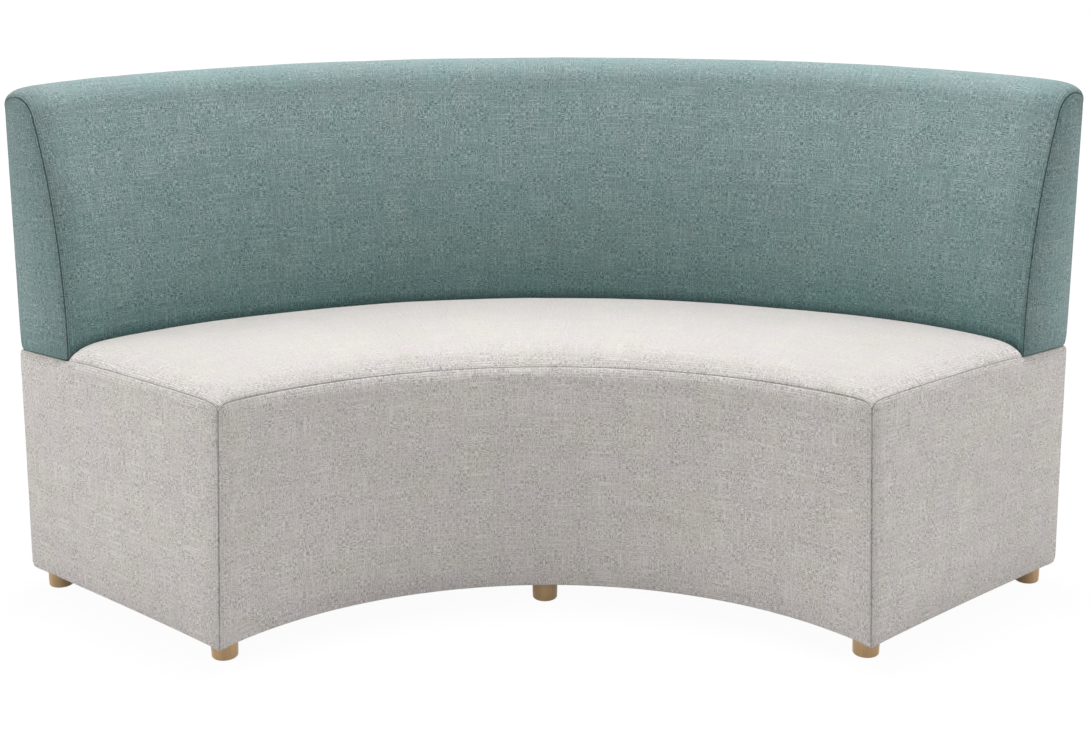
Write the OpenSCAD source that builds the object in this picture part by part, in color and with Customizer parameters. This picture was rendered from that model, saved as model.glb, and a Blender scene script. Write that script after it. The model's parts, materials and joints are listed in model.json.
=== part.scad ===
// Curved upholstered banquette bench: a padded seat box on short round feet, and a
// padded back bolted to the rear rail of the box. In plan it is a sector of a ring.
// The origin is on the floor under the middle of the bench. The sitter faces -Y, up is +Z.

/* [Plan] */
// Half of the angle that the bench spans in plan, in degrees
half_angle = 49.75; // [40:0.25:58]
// Radius of the front face at its hem
front_r = 695; // [600:1:800]
// How far the front face stands out over its hem at the seat seam
front_lean = 22; // [0:1:36]
// Radius of the rear face of the seat box
rear_r = 1220; // [1180:2:1400]
// How far the rear face of the back leans out by its top
back_rear_lean = 8; // [0:1:20]

/* [Heights] */
// Height of the hem over the floor
hem_z = 37; // [30:1:60]
// Height of the seam round the seat at its corners
seam_z = 458; // [430:1:490]
// How far the joint between the seat box and the back lies below the seat seam
joint_drop = 4.5; // [4:0.5:12]
// Height of the top of the back at its end seams
back_top_z = 911; // [860:1:980]

/* [Back shape] */
// Depth of the back at the seat
back_t = 137; // [128:1:180]
// How far the front face of the back falls away by the start of its top rounding
back_lean = 68; // [40:1:72]
// Height over the joint at which that fall begins
lean_start = 16; // [0:1:60]
// Radius of the rounding between the front face and the top of the back
top_round = 50; // [34:1:60]
// Radius of the small roundings at the foot and the rear of the back
small_round = 6; // [4:0.5:10]
// How far the seam behind the back lies below its top
rear_seam_drop = 14; // [12:1:24]

/* [Crown] */
// Rise of the seat over its seams
seat_crown = 15; // [8:0.5:22]
// Length over which the seat rolls up from its seams
seat_roll = 14; // [8:0.5:24]
// Further rise in the middle of the seat
seat_dome = 5; // [0:0.5:10]
// How far the front seam sinks midway between the corners
front_sag = 12.5; // [0:0.5:15]
// How far the seams are drawn down at the two front corners
corner_dip = 12; // [0:0.5:16]
// Reach of that dip along the seams
corner_reach = 14; // [8:0.5:24]
// Bulge of the front panel between its seams
front_bulge = 3; // [0:0.5:6]
// Bulge of the end panels of the seat box
end_bulge = 4; // [0:0.5:8]
// Bulge of the end panels of the back
back_end_bulge = 3; // [0:0.5:6]
// Rise of the top of the back over its end seams
back_crown = 15; // [0:0.5:18]
// Swell of the front face of the back between its seams
back_puff = 6; // [0:0.5:12]
// Length over which the back rolls up from its end seams
back_roll = 40; // [20:1:70]
// Rounding of the rear hem
rear_hem_round = 20; // [14:1:22]
// Rounding of the rear of the seat box at the joint
rear_top_round = 8; // [4:0.5:9]

/* [Layers] */
// Thickness of the cover fabric
cover_t = 1.5; // [1:0.1:2.5]
// Thickness of the cloth under the seat box
dust_t = 0.8; // [0.5:0.1:1.5]
// Width of the cover that is turned in under the seat box
turn_in = 24; // [16:1:28]
// Foam over the front skin
front_pad_t = 12; // [8:0.5:16]
// Foam over the end boards
end_pad_t = 8; // [5:0.5:12]
// Foam over the rear skins
rear_pad_t = 10; // [6:0.5:12]
// Foam on the seat deck at the seat seam
seat_foam_t = 60; // [45:1:90]
// Least foam over the front skin of the back
back_foam_t = 30; // [20:1:36]

/* [Frame] */
// Bottom plate, seat deck and rails
plate_t = 18; // [15:1:21]
// End boards and ribs
board_t = 15; // [12:1:18]
// Bent plywood skin at the front of the seat box
skin_t = 6; // [4:0.5:8]
// Bent plywood skin behind the seat box and behind the back
rear_skin_t = 4; // [3:0.5:6]
// Bent plywood skin at the front of the back
back_skin_t = 5; // [3:0.5:8]
// Bent board behind the seat foam
riser_t = 9; // [6:0.5:12]
// Angle of the two inner ribs of the seat box from the middle, in degrees
inner_rib_angle = 11; // [8:1:14]
// Angle of the two outer ribs of the seat box from the middle, in degrees
outer_rib_angle = 31; // [27:1:33]
// Angle of the two outer ribs of the back from the middle, in degrees
back_rib_angle = 25; // [22:1:28]
// Radius of the breather holes in the seat deck
vent_r = 12; // [6:1:20]
// Gap left between boards that are cut to fit
fit_gap = 0.5; // [0.3:0.1:1]

/* [Feet] */
// Radius of a foot at its ends
foot_r = 21.5; // [18:0.5:26]
// Extra radius of a foot at its middle
foot_swell = 0.8; // [0.2:0.1:2]
// Rounding of the lower edge of a foot
foot_round = 5; // [2:0.5:8]
// Distance from the end plane of the bench to the middle of a corner foot
foot_end_inset = 37; // [36.5:0.5:60]
// Distance from the hem of the front face to the middle of a front foot
foot_front_inset = 34; // [33:0.5:60]
// Distance from the rear face to the middle of a rear foot
foot_rear_inset = 29; // [28.5:0.5:60]
// Radius of the glide under a foot
glide_r = 12; // [8:0.5:16]
// Thickness of the glide
glide_t = 3; // [2:0.5:5]
// How far the glide stands out of the foot
glide_proud = 1; // [0.5:0.1:2]
// Side of the square block over a foot
block_side = 56; // [46:1:70]
// Height of the block over a foot
block_h = 20; // [16:1:30]

/* [Fasteners] */
// Radius of the bolts
bolt_r = 4; // [3:0.5:5]
// Depth of the bolt in a foot
bolt_depth = 22; // [15:1:28]
// Radius of the flange of a tee nut
nut_flange_r = 10; // [8:0.5:11]
// Thickness of the flange of a tee nut
nut_flange_t = 1.5; // [1:0.1:2]
// Radius of the barrel of a tee nut
nut_barrel_r = 5.2; // [5:0.1:6]
// Length of the barrel of a tee nut
nut_barrel_h = 10; // [6:0.5:12]
// Radius of the washers under the bolt heads
washer_r = 10; // [8:0.5:12]
// Thickness of the washers
washer_t = 1.6; // [1:0.1:2]
// Width of the bolt heads across their flats
head_flats = 13; // [11:0.5:16]
// Height of the bolt heads
head_h = 5.3; // [4:0.1:7]
// Radius of the wood screws
screw_r = 2.2; // [1.8:0.1:2.6]
// Radius of the screw heads
screw_head_r = 4.4; // [3.8:0.1:5]
// Height of the cone of the screw heads
screw_head_h = 2.6; // [2:0.1:3.5]
// Length of the wood screws
screw_len = 45; // [35:1:60]

/* [Hidden] */

// Fineness of round pieces
round_fn = 96;
// Panels across the bench in the formed covers and foams
seat_cols = 36;
back_cols = 30;
// How much the panels crowd towards the ends of the bench, as a share
crowd_share = 0.7;
// How far a cut or a trimming prism runs past what it cuts
over = front_r / 50;

// Radius of the front face at a height
function front_at(z) = front_r - front_lean * (z - hem_z) / (seam_z - hem_z);
// Radius of the rear face of the back at a height
function rear_at(z) = rear_r + back_rear_lean * (z - joint_z) / (back_top_z - joint_z);

seam_r = front_r - front_lean;
joint_z = seam_z - joint_drop;
rear_top_r = rear_r + back_rear_lean;
// The middle of the ring lies so that the bench is centred on the origin in plan
centre_y = -(rear_top_r + seam_r * cos(half_angle)) / 2;

// Levels of the seat box, from the floor up
fold_z = hem_z + dust_t;
plate_z = fold_z + cover_t;
plate_top = plate_z + plate_t;
deck_z = seam_z - seat_foam_t;
deck_under = deck_z - plate_t;
rail_top = joint_z - cover_t;
rail_under = rail_top - plate_t;

// Radii of the layers of the seat box
front_layers = cover_t + front_pad_t + skin_t;
rear_pad_r = rear_r - cover_t;
rear_skin_r = rear_pad_r - rear_pad_t;
rear_frame_r = rear_skin_r - rear_skin_t;
plate_front_r = front_at(plate_z) + front_layers;
deck_front_r = front_at(deck_under) + front_layers;
back_front_r = rear_r - back_t;
riser_back_r = back_front_r + riser_t;
end_layers = cover_t + end_pad_t;

// Levels and radii of the back
back_z = joint_z + cover_t;
back_rail_top = back_z + plate_t;
lean_z = joint_z + lean_start;
// Height at which the top rounding begins, found by repeated substitution
function rounding_z(n, z) =
  n == 0 ? z : rounding_z(n - 1, back_top_z - top_round * (1 - sin(lean_slope(z))));
function lean_slope(z) = atan(2 * back_lean / (z - lean_z));
round_z = rounding_z(6, back_top_z - top_round);
round_slope = lean_slope(round_z);
// Radius of the front face of the back at a height below its top rounding
function face_at(z) =
  back_front_r + back_lean * pow(max(z - lean_z, 0) / (round_z - lean_z), 2);
round_mid_r = back_front_r + back_lean + top_round * cos(round_slope);
round_mid_z = back_top_z - top_round;
top_rail_top = back_top_z - cover_t - back_foam_t;
top_rail_z = top_rail_top - plate_t;
// The front of the frame of the back is a straight line, clear of the foam in front of it
frame_foot_r = back_front_r + cover_t + back_foam_t + back_skin_t;
frame_head_r = face_at(min(top_rail_top, round_z)) + cover_t + back_foam_t + back_skin_t;
function frame_front_at(z) =
  frame_foot_r + (frame_head_r - frame_foot_r) * (z - back_z) / (top_rail_top - back_z);
function frame_rear_at(z) = rear_at(z) - cover_t - rear_pad_t - rear_skin_t;

// Feet: name order is front left, centre, right, then rear left, centre, right
foot_radii = [front_r + foot_front_inset, rear_r - foot_rear_inset];
function foot_angle(radius) = half_angle - asin(foot_end_inset / radius);
FOOT_SPOTS = [for (radius = foot_radii, side = [-1, 0, 1]) [radius, side * foot_angle(radius)]];

// Angles, from the middle, of what stands across the seat box and across the back
BASE_RIBS = [-outer_rib_angle, -inner_rib_angle, inner_rib_angle, outer_rib_angle];
BACK_RIBS = [-back_rib_angle, 0, back_rib_angle];
BACK_BOLT_SHARES = [-0.86, -0.36, -0.14, 0.14, 0.36, 0.86];
back_bolt_r = (frame_foot_r + frame_rear_at(back_z)) / 2;

// A point of the bench in plan, from its radius and its angle from the middle
function spot(radius, angle) = [radius * sin(angle), centre_y + radius * cos(angle)];

module at_spot(radius, angle) {
  place = spot(radius, angle);
  translate([place[0], place[1], 0]) rotate([0, 0, -angle]) children();
}

// Turns a section, drawn as radius and height, into a ring sector
module ring() {
  translate([0, centre_y, 0])
    rotate_extrude(angle = 2 * half_angle, start = 90 - half_angle, $fn = 4 * round_fn) children();
}

// The space between the two end planes, each moved in by an inset
module between_ends(inset) {
  reach = 4 * rear_top_r;
  translate([0, centre_y + inset / sin(half_angle), -over])
    linear_extrude(back_top_z + 2 * over)
      polygon([
        [0, 0],
        [reach * sin(half_angle), reach * cos(half_angle)],
        [-reach * sin(half_angle), reach * cos(half_angle)]
      ]);
}

module ring_between(inset) {
  intersection() {
    ring() children();
    between_ends(inset);
  }
}

// A flat board across the bench at an angle, drawn as radius and height
module across(angle, thickness) {
  translate([0, centre_y, 0]) rotate([0, 0, 90 - angle]) rotate([90, 0, 0])
    translate([0, 0, -thickness / 2]) linear_extrude(thickness) children();
}

// A flat board along the right end plane, moved in by an inset
module along_end(inset, thickness) {
  translate([0, centre_y, 0]) rotate([0, 0, 90 - half_angle]) rotate([90, 0, 0])
    translate([0, 0, -inset - thickness]) linear_extrude(thickness) children();
}

module mirrored() {
  mirror([1, 0, 0]) children();
}

// A wood screw with its head at the top and its point down
module screw() {
  rotate_extrude($fn = round_fn / 2)
    polygon([
      [0, 0],
      [screw_head_r, 0],
      [screw_r, -screw_head_h],
      [screw_r, -screw_len + 2 * screw_r],
      [0, -screw_len]
    ]);
}

// The places of screws on one board: radius of each, and the offset from the board's angle
function board_angle(side, radius) =
  side * (half_angle - asin((end_layers + board_t / 2) / radius));
function screw_spots(radii, ribs) = concat(
  [for (radius = radii, angle = ribs) [radius, angle]],
  [for (radius = radii, side = [-1, 1]) [radius, board_angle(side, radius)]]
);
front_screw_r = front_r + (back_front_r - front_r) / 4;
mid_screw_r = back_front_r - (back_front_r - front_r) / 5;
rail_screw_r = (riser_back_r + rear_frame_r) / 2 + nut_flange_r;
BASE_SCREWS = screw_spots([front_screw_r, mid_screw_r], BASE_RIBS);
RAIL_SCREWS = screw_spots([rail_screw_r], BASE_RIBS);
top_screw_r = (frame_front_at(top_rail_z) + frame_rear_at(top_rail_z)) / 2;
foot_screw_r = back_bolt_r;
TOP_SCREWS = screw_spots([top_screw_r], BACK_RIBS);
FOOT_SCREWS = screw_spots([foot_screw_r], BACK_RIBS);

module screws_down(spots, z) {
  for (place = spots) at_spot(place[0], place[1]) translate([0, 0, z]) screw();
}

module screws_up(spots, z) {
  for (place = spots) at_spot(place[0], place[1]) translate([0, 0, z]) mirror([0, 0, 1]) screw();
}

module base_screws() {
  color("lightsteelblue") {
    screws_down(BASE_SCREWS, deck_z);
    screws_up(BASE_SCREWS, plate_z);
    screws_down(RAIL_SCREWS, rail_top);
  }
}

module back_screws() {
  color("lightsteelblue") {
    screws_down(TOP_SCREWS, top_rail_top);
    screws_up(FOOT_SCREWS, back_z);
  }
}

// Frame of the seat box

module foot_bores(radius) {
  for (place = FOOT_SPOTS)
    at_spot(place[0], place[1]) translate([0, 0, hem_z - over]) cylinder(r = radius, h = plate_z + 2 * over);
}

module bottom_plate() {
  color("burlywood") difference() {
    ring_between(end_layers)
      translate([plate_front_r, plate_z]) square([rear_frame_r - plate_front_r, plate_t]);
    foot_bores(bolt_r);
    screws_up(BASE_SCREWS, plate_z);
  }
}

module seat_deck() {
  vent_shares = [-0.82, -0.42, 0, 0.42, 0.82];
  vent_radii = [deck_front_r + vent_r * 6, back_front_r - vent_r * 6];
  color("burlywood") difference() {
    ring_between(end_layers)
      translate([deck_front_r, deck_under]) square([riser_back_r - deck_front_r, plate_t]);
    for (radius = vent_radii, share = vent_shares)
      at_spot(radius, share * half_angle) translate([0, 0, deck_under - over])
        cylinder(r = vent_r, h = plate_t + 2 * over, $fn = round_fn);
    screws_down(BASE_SCREWS, deck_z);
  }
}

// Outline of the boards that carry the deck and the rear rail
module base_board_outline() {
  polygon([
    [front_at(plate_top) + front_layers, plate_top],
    [front_at(deck_under) + front_layers, deck_under],
    [riser_back_r + fit_gap, deck_under],
    [riser_back_r + fit_gap, rail_under],
    [rear_frame_r - fit_gap, rail_under],
    [rear_frame_r - fit_gap, plate_top]
  ]);
}

module base_screw_holes() {
  screws_down(BASE_SCREWS, deck_z);
  screws_up(BASE_SCREWS, plate_z);
  screws_down(RAIL_SCREWS, rail_top);
}

module base_rib(angle) {
  color("tan") difference() {
    across(angle, board_t) base_board_outline();
    base_screw_holes();
  }
}

module end_board_right() {
  color("tan") difference() {
    along_end(end_layers, board_t) base_board_outline();
    base_screw_holes();
  }
}

module base_front_skin() {
  front_skin = cover_t + front_pad_t;
  color("wheat") ring_between(end_layers)
    polygon([
      [front_at(plate_z) + front_skin, plate_z],
      [front_at(deck_z) + front_skin, deck_z],
      [front_at(deck_z) + front_layers, deck_z],
      [front_at(plate_z) + front_layers, plate_z]
    ]);
}

module base_rear_skin() {
  skin_z = plate_z + rear_hem_round - rear_pad_t;
  color("wheat") ring_between(end_layers)
    translate([rear_frame_r, skin_z]) square([rear_skin_t, rail_top - skin_z]);
}

module rear_top_rail() {
  color("burlywood") difference() {
    ring_between(end_layers)
      translate([back_front_r, rail_under]) square([rear_frame_r - back_front_r, plate_t]);
    back_bolt_bores(bolt_r);
    screws_down(RAIL_SCREWS, rail_top);
  }
}

module seat_riser() {
  color("wheat") ring_between(end_layers)
    translate([back_front_r, deck_z]) square([riser_t, rail_under - deck_z]);
}

// Feet and what holds them

// Where a block touches the boards round it: its distance in from the end plane, then how
// far along that plane it starts
block_in = end_layers + board_t + fit_gap;
front_wall = front_at(plate_top) + front_layers + fit_gap;
rear_wall = rear_frame_r - fit_gap;
block_reach = block_in + block_side;
CORNER_BLOCKS = [
  sqrt(front_wall * front_wall - block_in * block_in),
  sqrt(rear_wall * rear_wall - block_reach * block_reach) - block_side
];
CENTRE_BLOCKS = [
  front_wall,
  sqrt(rear_wall * rear_wall - block_side * block_side / 4) - block_side
];

module foot_block_bore(spot_index) {
  place = FOOT_SPOTS[spot_index];
  at_spot(place[0], place[1]) {
    translate([0, 0, plate_top - over]) cylinder(r = bolt_r, h = block_h + 2 * over, $fn = round_fn);
    translate([0, 0, plate_top + block_h - nut_barrel_h])
      cylinder(r = nut_barrel_r, h = nut_barrel_h + over, $fn = round_fn);
  }
}

// A corner block, on the right: row 0 is the front, row 1 the rear
module corner_block(row) {
  color("peru") difference() {
    translate([0, centre_y, 0]) rotate([0, 0, -half_angle])
      translate([-block_reach, CORNER_BLOCKS[row], plate_top]) cube([block_side, block_side, block_h]);
    foot_block_bore(3 * row + 2);
  }
}

module centre_block(row) {
  color("peru") difference() {
    translate([-block_side / 2, centre_y + CENTRE_BLOCKS[row], plate_top])
      cube([block_side, block_side, block_h]);
    foot_block_bore(3 * row + 1);
  }
}

// Half section of a foot: a cylinder with a slight belly and a rounded lower edge
module foot_section() {
  tall = hem_z - glide_proud;
  belly_r = (tall * tall / 4 + foot_swell * foot_swell) / (2 * foot_swell);
  wide = foot_r + foot_swell;
  translate([0, glide_proud]) intersection() {
    union() {
      square([wide - foot_round, tall]);
      translate([0, foot_round]) square([wide, tall - foot_round]);
      translate([wide - foot_round, foot_round]) circle(r = foot_round, $fn = round_fn);
    }
    translate([wide - belly_r, tall / 2]) circle(r = belly_r, $fn = 4 * round_fn);
  }
}

module foot(spot_index) {
  place = FOOT_SPOTS[spot_index];
  color("burlywood") at_spot(place[0], place[1]) difference() {
    rotate_extrude($fn = round_fn) foot_section();
    translate([0, 0, hem_z - bolt_depth]) cylinder(r = bolt_r, h = bolt_depth + over, $fn = round_fn);
    translate([0, 0, -over]) cylinder(r = glide_r, h = glide_t + over, $fn = round_fn);
  }
}

module foot_bolts() {
  tall = bolt_depth + plate_top + block_h - hem_z;
  color("silver") for (place = FOOT_SPOTS)
    at_spot(place[0], place[1]) translate([0, 0, hem_z - bolt_depth])
      cylinder(r = bolt_r, h = tall, $fn = round_fn);
}

// A tee nut with its flange up and its barrel down from the level it is drawn at
module tee_nut() {
  rotate_extrude($fn = round_fn) {
    translate([bolt_r, 0]) square([nut_flange_r - bolt_r, nut_flange_t]);
    translate([bolt_r, -nut_barrel_h]) square([nut_barrel_r - bolt_r, nut_barrel_h]);
  }
}

module foot_nuts() {
  color("silver") for (place = FOOT_SPOTS)
    at_spot(place[0], place[1]) translate([0, 0, plate_top + block_h]) tee_nut();
}

module foot_glides() {
  color("dimgray") for (place = FOOT_SPOTS)
    at_spot(place[0], place[1]) cylinder(r = glide_r, h = glide_t, $fn = round_fn);
}

// Formed soft pieces: closed sheets between two grids of points

// Share of the half angle at which a column lies, from -1 to 1
function column_share(j, cols) =
  let (t = 2 * j / cols - 1) crowd_share * sin(90 * t) + (1 - crowd_share) * t;
// Angle of a column at a radius, where the end plane is moved in by an inset
function column_angle(j, cols, radius, inset) =
  column_share(j, cols) * (half_angle - asin(inset / radius));
// Distance from a spot to the nearer end plane
function end_distance(radius, angle) = radius * sin(half_angle - abs(angle));
// Rises from 0 at a seam to 1 well inside it
function rolled(distance, roll) = 1 - exp(-max(distance, 0) / roll);

module sheet(outer, inner) {
  rows = len(outer);
  cols = len(outer[0]);
  total = rows * cols;
  function at(i, j) = i * cols + j;
  skin = [for (i = [0 : rows - 2], j = [0 : cols - 2])
    each [[at(i, j), at(i + 1, j), at(i + 1, j + 1)], [at(i, j), at(i + 1, j + 1), at(i, j + 1)]]];
  lining = [for (face = skin) [face[2] + total, face[1] + total, face[0] + total]];
  rim = concat(
    [for (j = [0 : cols - 2]) [at(0, j), at(0, j + 1)]],
    [for (i = [0 : rows - 2]) [at(i, cols - 1), at(i + 1, cols - 1)]],
    [for (j = [0 : cols - 2]) [at(rows - 1, cols - 1 - j), at(rows - 1, cols - 2 - j)]],
    [for (i = [0 : rows - 2]) [at(rows - 1 - i, 0), at(rows - 2 - i, 0)]]
  );
  walls = [for (pair = rim)
    each [[pair[0], pair[1], pair[1] + total], [pair[0], pair[1] + total, pair[0] + total]]];
  polyhedron(
    points = concat([for (row = outer) each row], [for (row = inner) each row]),
    faces = concat(skin, lining, walls),
    convexity = 6
  );
}

// Sections of the seat: how far each row lies behind the front seam, front to back
seat_depth = back_front_r - seam_r;
SEAT_ROLL_SHARES = [0, 0.35, 0.9, 1.8, 3.6];
SEAT_FLAT_SHARES = [0.34, 0.58, 0.8];
crevice = cover_t;
seat_rows = concat(
  [for (share = SEAT_ROLL_SHARES) seam_r + share * seat_roll],
  [for (share = SEAT_FLAT_SHARES) seam_r + share * seat_depth],
  [back_front_r - crevice - seat_roll, back_front_r - crevice - seat_roll / 3]
);

// How far the seams and the covers are drawn down near a front corner
function dip(radius, angle) =
  let (away = norm([max(radius - seam_r, 0), end_distance(radius, angle)]))
  corner_dip * exp(-pow(away / corner_reach, 2) / 2);

// Height of the crowned seat at a radius and an angle
function seat_z(radius, angle) =
  let (
    across_share = angle / half_angle,
    depth_share = (radius - seam_r) / seat_depth,
    sag = front_sag * (1 - across_share * across_share) * pow(1 - depth_share, 2),
    ends = rolled(end_distance(radius, angle), seat_roll),
    front = rolled(radius - seam_r, seat_roll),
    dome = seat_dome * sin(180 * depth_share) * rolled(end_distance(radius, angle), 4 * seat_roll)
  )
  seam_z - sag - dip(radius, angle) + seat_crown * ends * front + dome;

function seat_point(radius, j, inset, drop) =
  let (angle = column_angle(j, seat_cols, radius, inset), place = spot(radius, angle))
  [place[0], place[1], seat_z(radius, angle) - drop];

// A point low behind the seat foam, where the cover is drawn down to the deck
function seat_tail_point(radius, j, inset, z) =
  let (place = spot(radius, column_angle(j, seat_cols, radius, inset)))
  [place[0], place[1], z];

module seat_cover() {
  back_r = back_front_r - crevice;
  outer = concat(
    [for (radius = seat_rows) [for (j = [0 : seat_cols]) seat_point(radius, j, 0, 0)]],
    [[for (j = [0 : seat_cols]) seat_point(back_r, j, 0, seat_roll / 2)]],
    [[for (j = [0 : seat_cols]) seat_tail_point(back_r, j, end_layers, deck_z)]]
  );
  inner = concat(
    [[for (j = [0 : seat_cols]) seat_point(seam_r + cover_t, j, cover_t, cover_t)]],
    [for (k = [1 : len(seat_rows) - 1])
      [for (j = [0 : seat_cols]) seat_point(max(seat_rows[k], seam_r + 2 * cover_t), j, cover_t, cover_t)]],
    [[for (j = [0 : seat_cols]) seat_point(back_r - cover_t, j, cover_t, cover_t + seat_roll / 2)]],
    [[for (j = [0 : seat_cols]) seat_tail_point(back_r - cover_t, j, end_layers, deck_z)]]
  );
  color("gainsboro") sheet(outer, inner);
}

module seat_foam() {
  front = front_at(deck_z) + cover_t + front_pad_t + fit_gap;
  back = back_front_r - crevice - cover_t;
  radii = concat([front], [for (k = [3, 4, 6, 8, 9]) max(seat_rows[k], front + k * cover_t)]);
  inset = end_layers;
  drop = cover_t + dust_t;
  outer = concat(
    [for (radius = radii)
      [for (j = [0 : seat_cols]) seat_point(min(radius, back - cover_t), j, inset, drop)]],
    [[for (j = [0 : seat_cols]) seat_point(back, j, inset, drop + seat_roll / 2)]]
  );
  inner = [for (row = outer) [for (point = row) [point[0], point[1], deck_z]]];
  color("khaki") sheet(outer, inner);
}

// The front panel: turned in under the plate, then up the front face to the seat seam
FRONT_RISE_SHARES = [0.02, 0.2, 0.5, 0.8, 1];

function front_point(share, j, inset, depth) =
  let (
    angle = column_angle(j, seat_cols, front_r, inset),
    across_share = angle / half_angle,
    low = fold_z + cover_t,
    high = seam_z - cover_t - front_sag * (1 - across_share * across_share) - dip(seam_r, angle),
    z = low + share * (high - low),
    bulge = front_bulge * sin(180 * share) * rolled(end_distance(front_r, angle), seat_roll),
    place = spot(front_at(z) - bulge + depth, angle)
  )
  [place[0], place[1], z];

function front_fold_point(radius, j, inset, z) =
  let (place = spot(radius, column_angle(j, seat_cols, radius, inset)))
  [place[0], place[1], z];

module front_cover() {
  hem_r = front_at(fold_z);
  outer = concat(
    [[for (j = [0 : seat_cols]) front_fold_point(hem_r + turn_in, j, 0, fold_z)]],
    [[for (j = [0 : seat_cols]) front_fold_point(hem_r + cover_t, j, 0, fold_z)]],
    [for (share = FRONT_RISE_SHARES) [for (j = [0 : seat_cols]) front_point(share, j, 0, 0)]]
  );
  inner = concat(
    [[for (j = [0 : seat_cols]) front_fold_point(hem_r + turn_in, j, 0, plate_z)]],
    [[for (j = [0 : seat_cols]) front_fold_point(hem_r + 2 * cover_t, j, 0, plate_z)]],
    [for (share = FRONT_RISE_SHARES) [for (j = [0 : seat_cols]) front_point(share, j, 0, cover_t)]]
  );
  color("gainsboro") sheet(outer, inner);
}

module front_padding() {
  pad_top = seam_z - front_sag - 2 * cover_t;
  color("khaki") ring_between(end_layers)
    polygon([
      [front_at(plate_z) + cover_t, plate_z],
      [front_at(pad_top) + cover_t, pad_top],
      [front_at(pad_top) + cover_t + front_pad_t, pad_top],
      [front_at(plate_z) + cover_t + front_pad_t, plate_z]
    ]);
}

// How far the rear cover is turned in: it stops short of the bolts of the rear feet
rear_fold = foot_rear_inset - bolt_r - fit_gap;

// Points of a rounded corner of an outline: its middle, its radius and its first direction
ARC_SHARES = [0, 0.2, 0.4, 0.6, 0.8, 1];
function corner_arc(middle, radius, from) =
  [for (share = ARC_SHARES)
    [middle[0] + radius * cos(from + 90 * share), middle[1] + radius * sin(from + 90 * share)]];
function reversed(list) = [for (k = [1 : len(list)]) list[len(list) - k]];

// Rear of the seat box with its two roundings, drawn in from the rear face and the levels
function rear_outline(inset, low, high) =
  let (hem = rear_hem_round - inset, top = rear_top_round - inset, wall = rear_r - inset)
  concat(
    [[rear_r - rear_fold, low]],
    corner_arc([wall - hem, low + hem], hem, -90),
    corner_arc([wall - top, high - top], top, 0),
    [[rear_r - rear_fold, high]]
  );

module rear_cover() {
  color("gainsboro") ring_between(0)
    polygon(concat(
      rear_outline(0, fold_z, joint_z),
      reversed(rear_outline(cover_t, plate_z, rail_top))
    ));
}

module rear_padding() {
  color("khaki") ring_between(end_layers) intersection() {
    polygon(rear_outline(cover_t + fit_gap, plate_z, rail_top - fit_gap));
    translate([rear_skin_r, plate_z]) square([rear_pad_t + over, rail_top - plate_z]);
  }
}

// How far a rounded corner has drawn its edge in, at a distance from its end
function corner_in(distance, radius) =
  let (left = max(radius - distance, 0))
  radius - sqrt(max(radius * radius - left * left, 0));

// End panels of the seat box, drawn on the right end plane. Their columns lie in two runs,
// in front of the back and under it, so the top edge steps down to the joint.
SEAT_RUN_SHARES = [0, 0.03, 0.09, 0.24, 0.5, 0.8, 0.97];
UNDER_RUN_SHARES = [0, 0.5, 0.92, 1];
END_ROW_SHARES = [0, 0.012, 0.036, 0.09, 0.3, 0.6, 0.85, 0.96, 1];
END_COLUMNS = concat(
  [for (share = SEAT_RUN_SHARES) [share, 0]],
  [for (share = UNDER_RUN_SHARES) [1, share]]
);

function end_place(radius, out) = [
  radius * sin(half_angle) + out * cos(half_angle),
  centre_y + radius * cos(half_angle) - out * sin(half_angle)
];

function end_point(column, rise_share, out) =
  let (
    top_radius = seam_r + column[0] * seat_depth,
    step = joint_drop - cover_t + fit_gap,
    high = column[0] < 1
      ? seam_z - cover_t - dip(top_radius, half_angle) - step * pow(column[0], 8)
      : joint_z - fit_gap,
    low = fold_z + fit_gap,
    z = low + rise_share * (high - low),
    near = front_at(z) + cover_t,
    far = rear_pad_r - corner_in(z - fold_z, rear_hem_round) - corner_in(joint_z - z, rear_top_round),
    under = min(back_front_r, far),
    radius = near + column[0] * (under - near) + column[1] * (far - under),
    width_share = (radius - near) / (far - near),
    swell = end_bulge * sqrt(max(sin(180 * width_share) * sin(180 * rise_share), 0)),
    place = end_place(radius, out < 0 ? out : swell)
  )
  [place[0], place[1], z];

module end_cover_right() {
  color("lightgray") sheet(
    [for (rise = END_ROW_SHARES) [for (column = END_COLUMNS) end_point(column, rise, 0)]],
    [for (rise = END_ROW_SHARES) [for (column = END_COLUMNS) end_point(column, rise, -cover_t)]]
  );
}

module end_padding_right() {
  high = rail_top - cover_t;
  far = rear_pad_r - cover_t;
  hem = rear_hem_round - 2 * cover_t;
  top = rear_top_round - cover_t;
  color("khaki") along_end(cover_t, end_pad_t)
    polygon(concat(
      [[front_at(high) + 2 * cover_t, high], [front_at(plate_z) + 2 * cover_t, plate_z]],
      corner_arc([far - hem, plate_z + hem], hem, -90),
      corner_arc([far - top, high - top], top, 0)
    ));
}

module dust_cover() {
  edge = turn_in / 3;
  color("dimgray") difference() {
    ring_between(edge)
      translate([front_r + edge, hem_z]) square([rear_r - rear_hem_round - front_r - edge, dust_t]);
    foot_bores(bolt_r);
  }
}

// Frame of the back

module back_bolt_bores(radius) {
  for (share = BACK_BOLT_SHARES)
    at_spot(back_bolt_r, share * half_angle)
      translate([0, 0, rail_under - over])
        cylinder(r = radius, h = back_rail_top - rail_under + 2 * over, $fn = round_fn);
}

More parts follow.
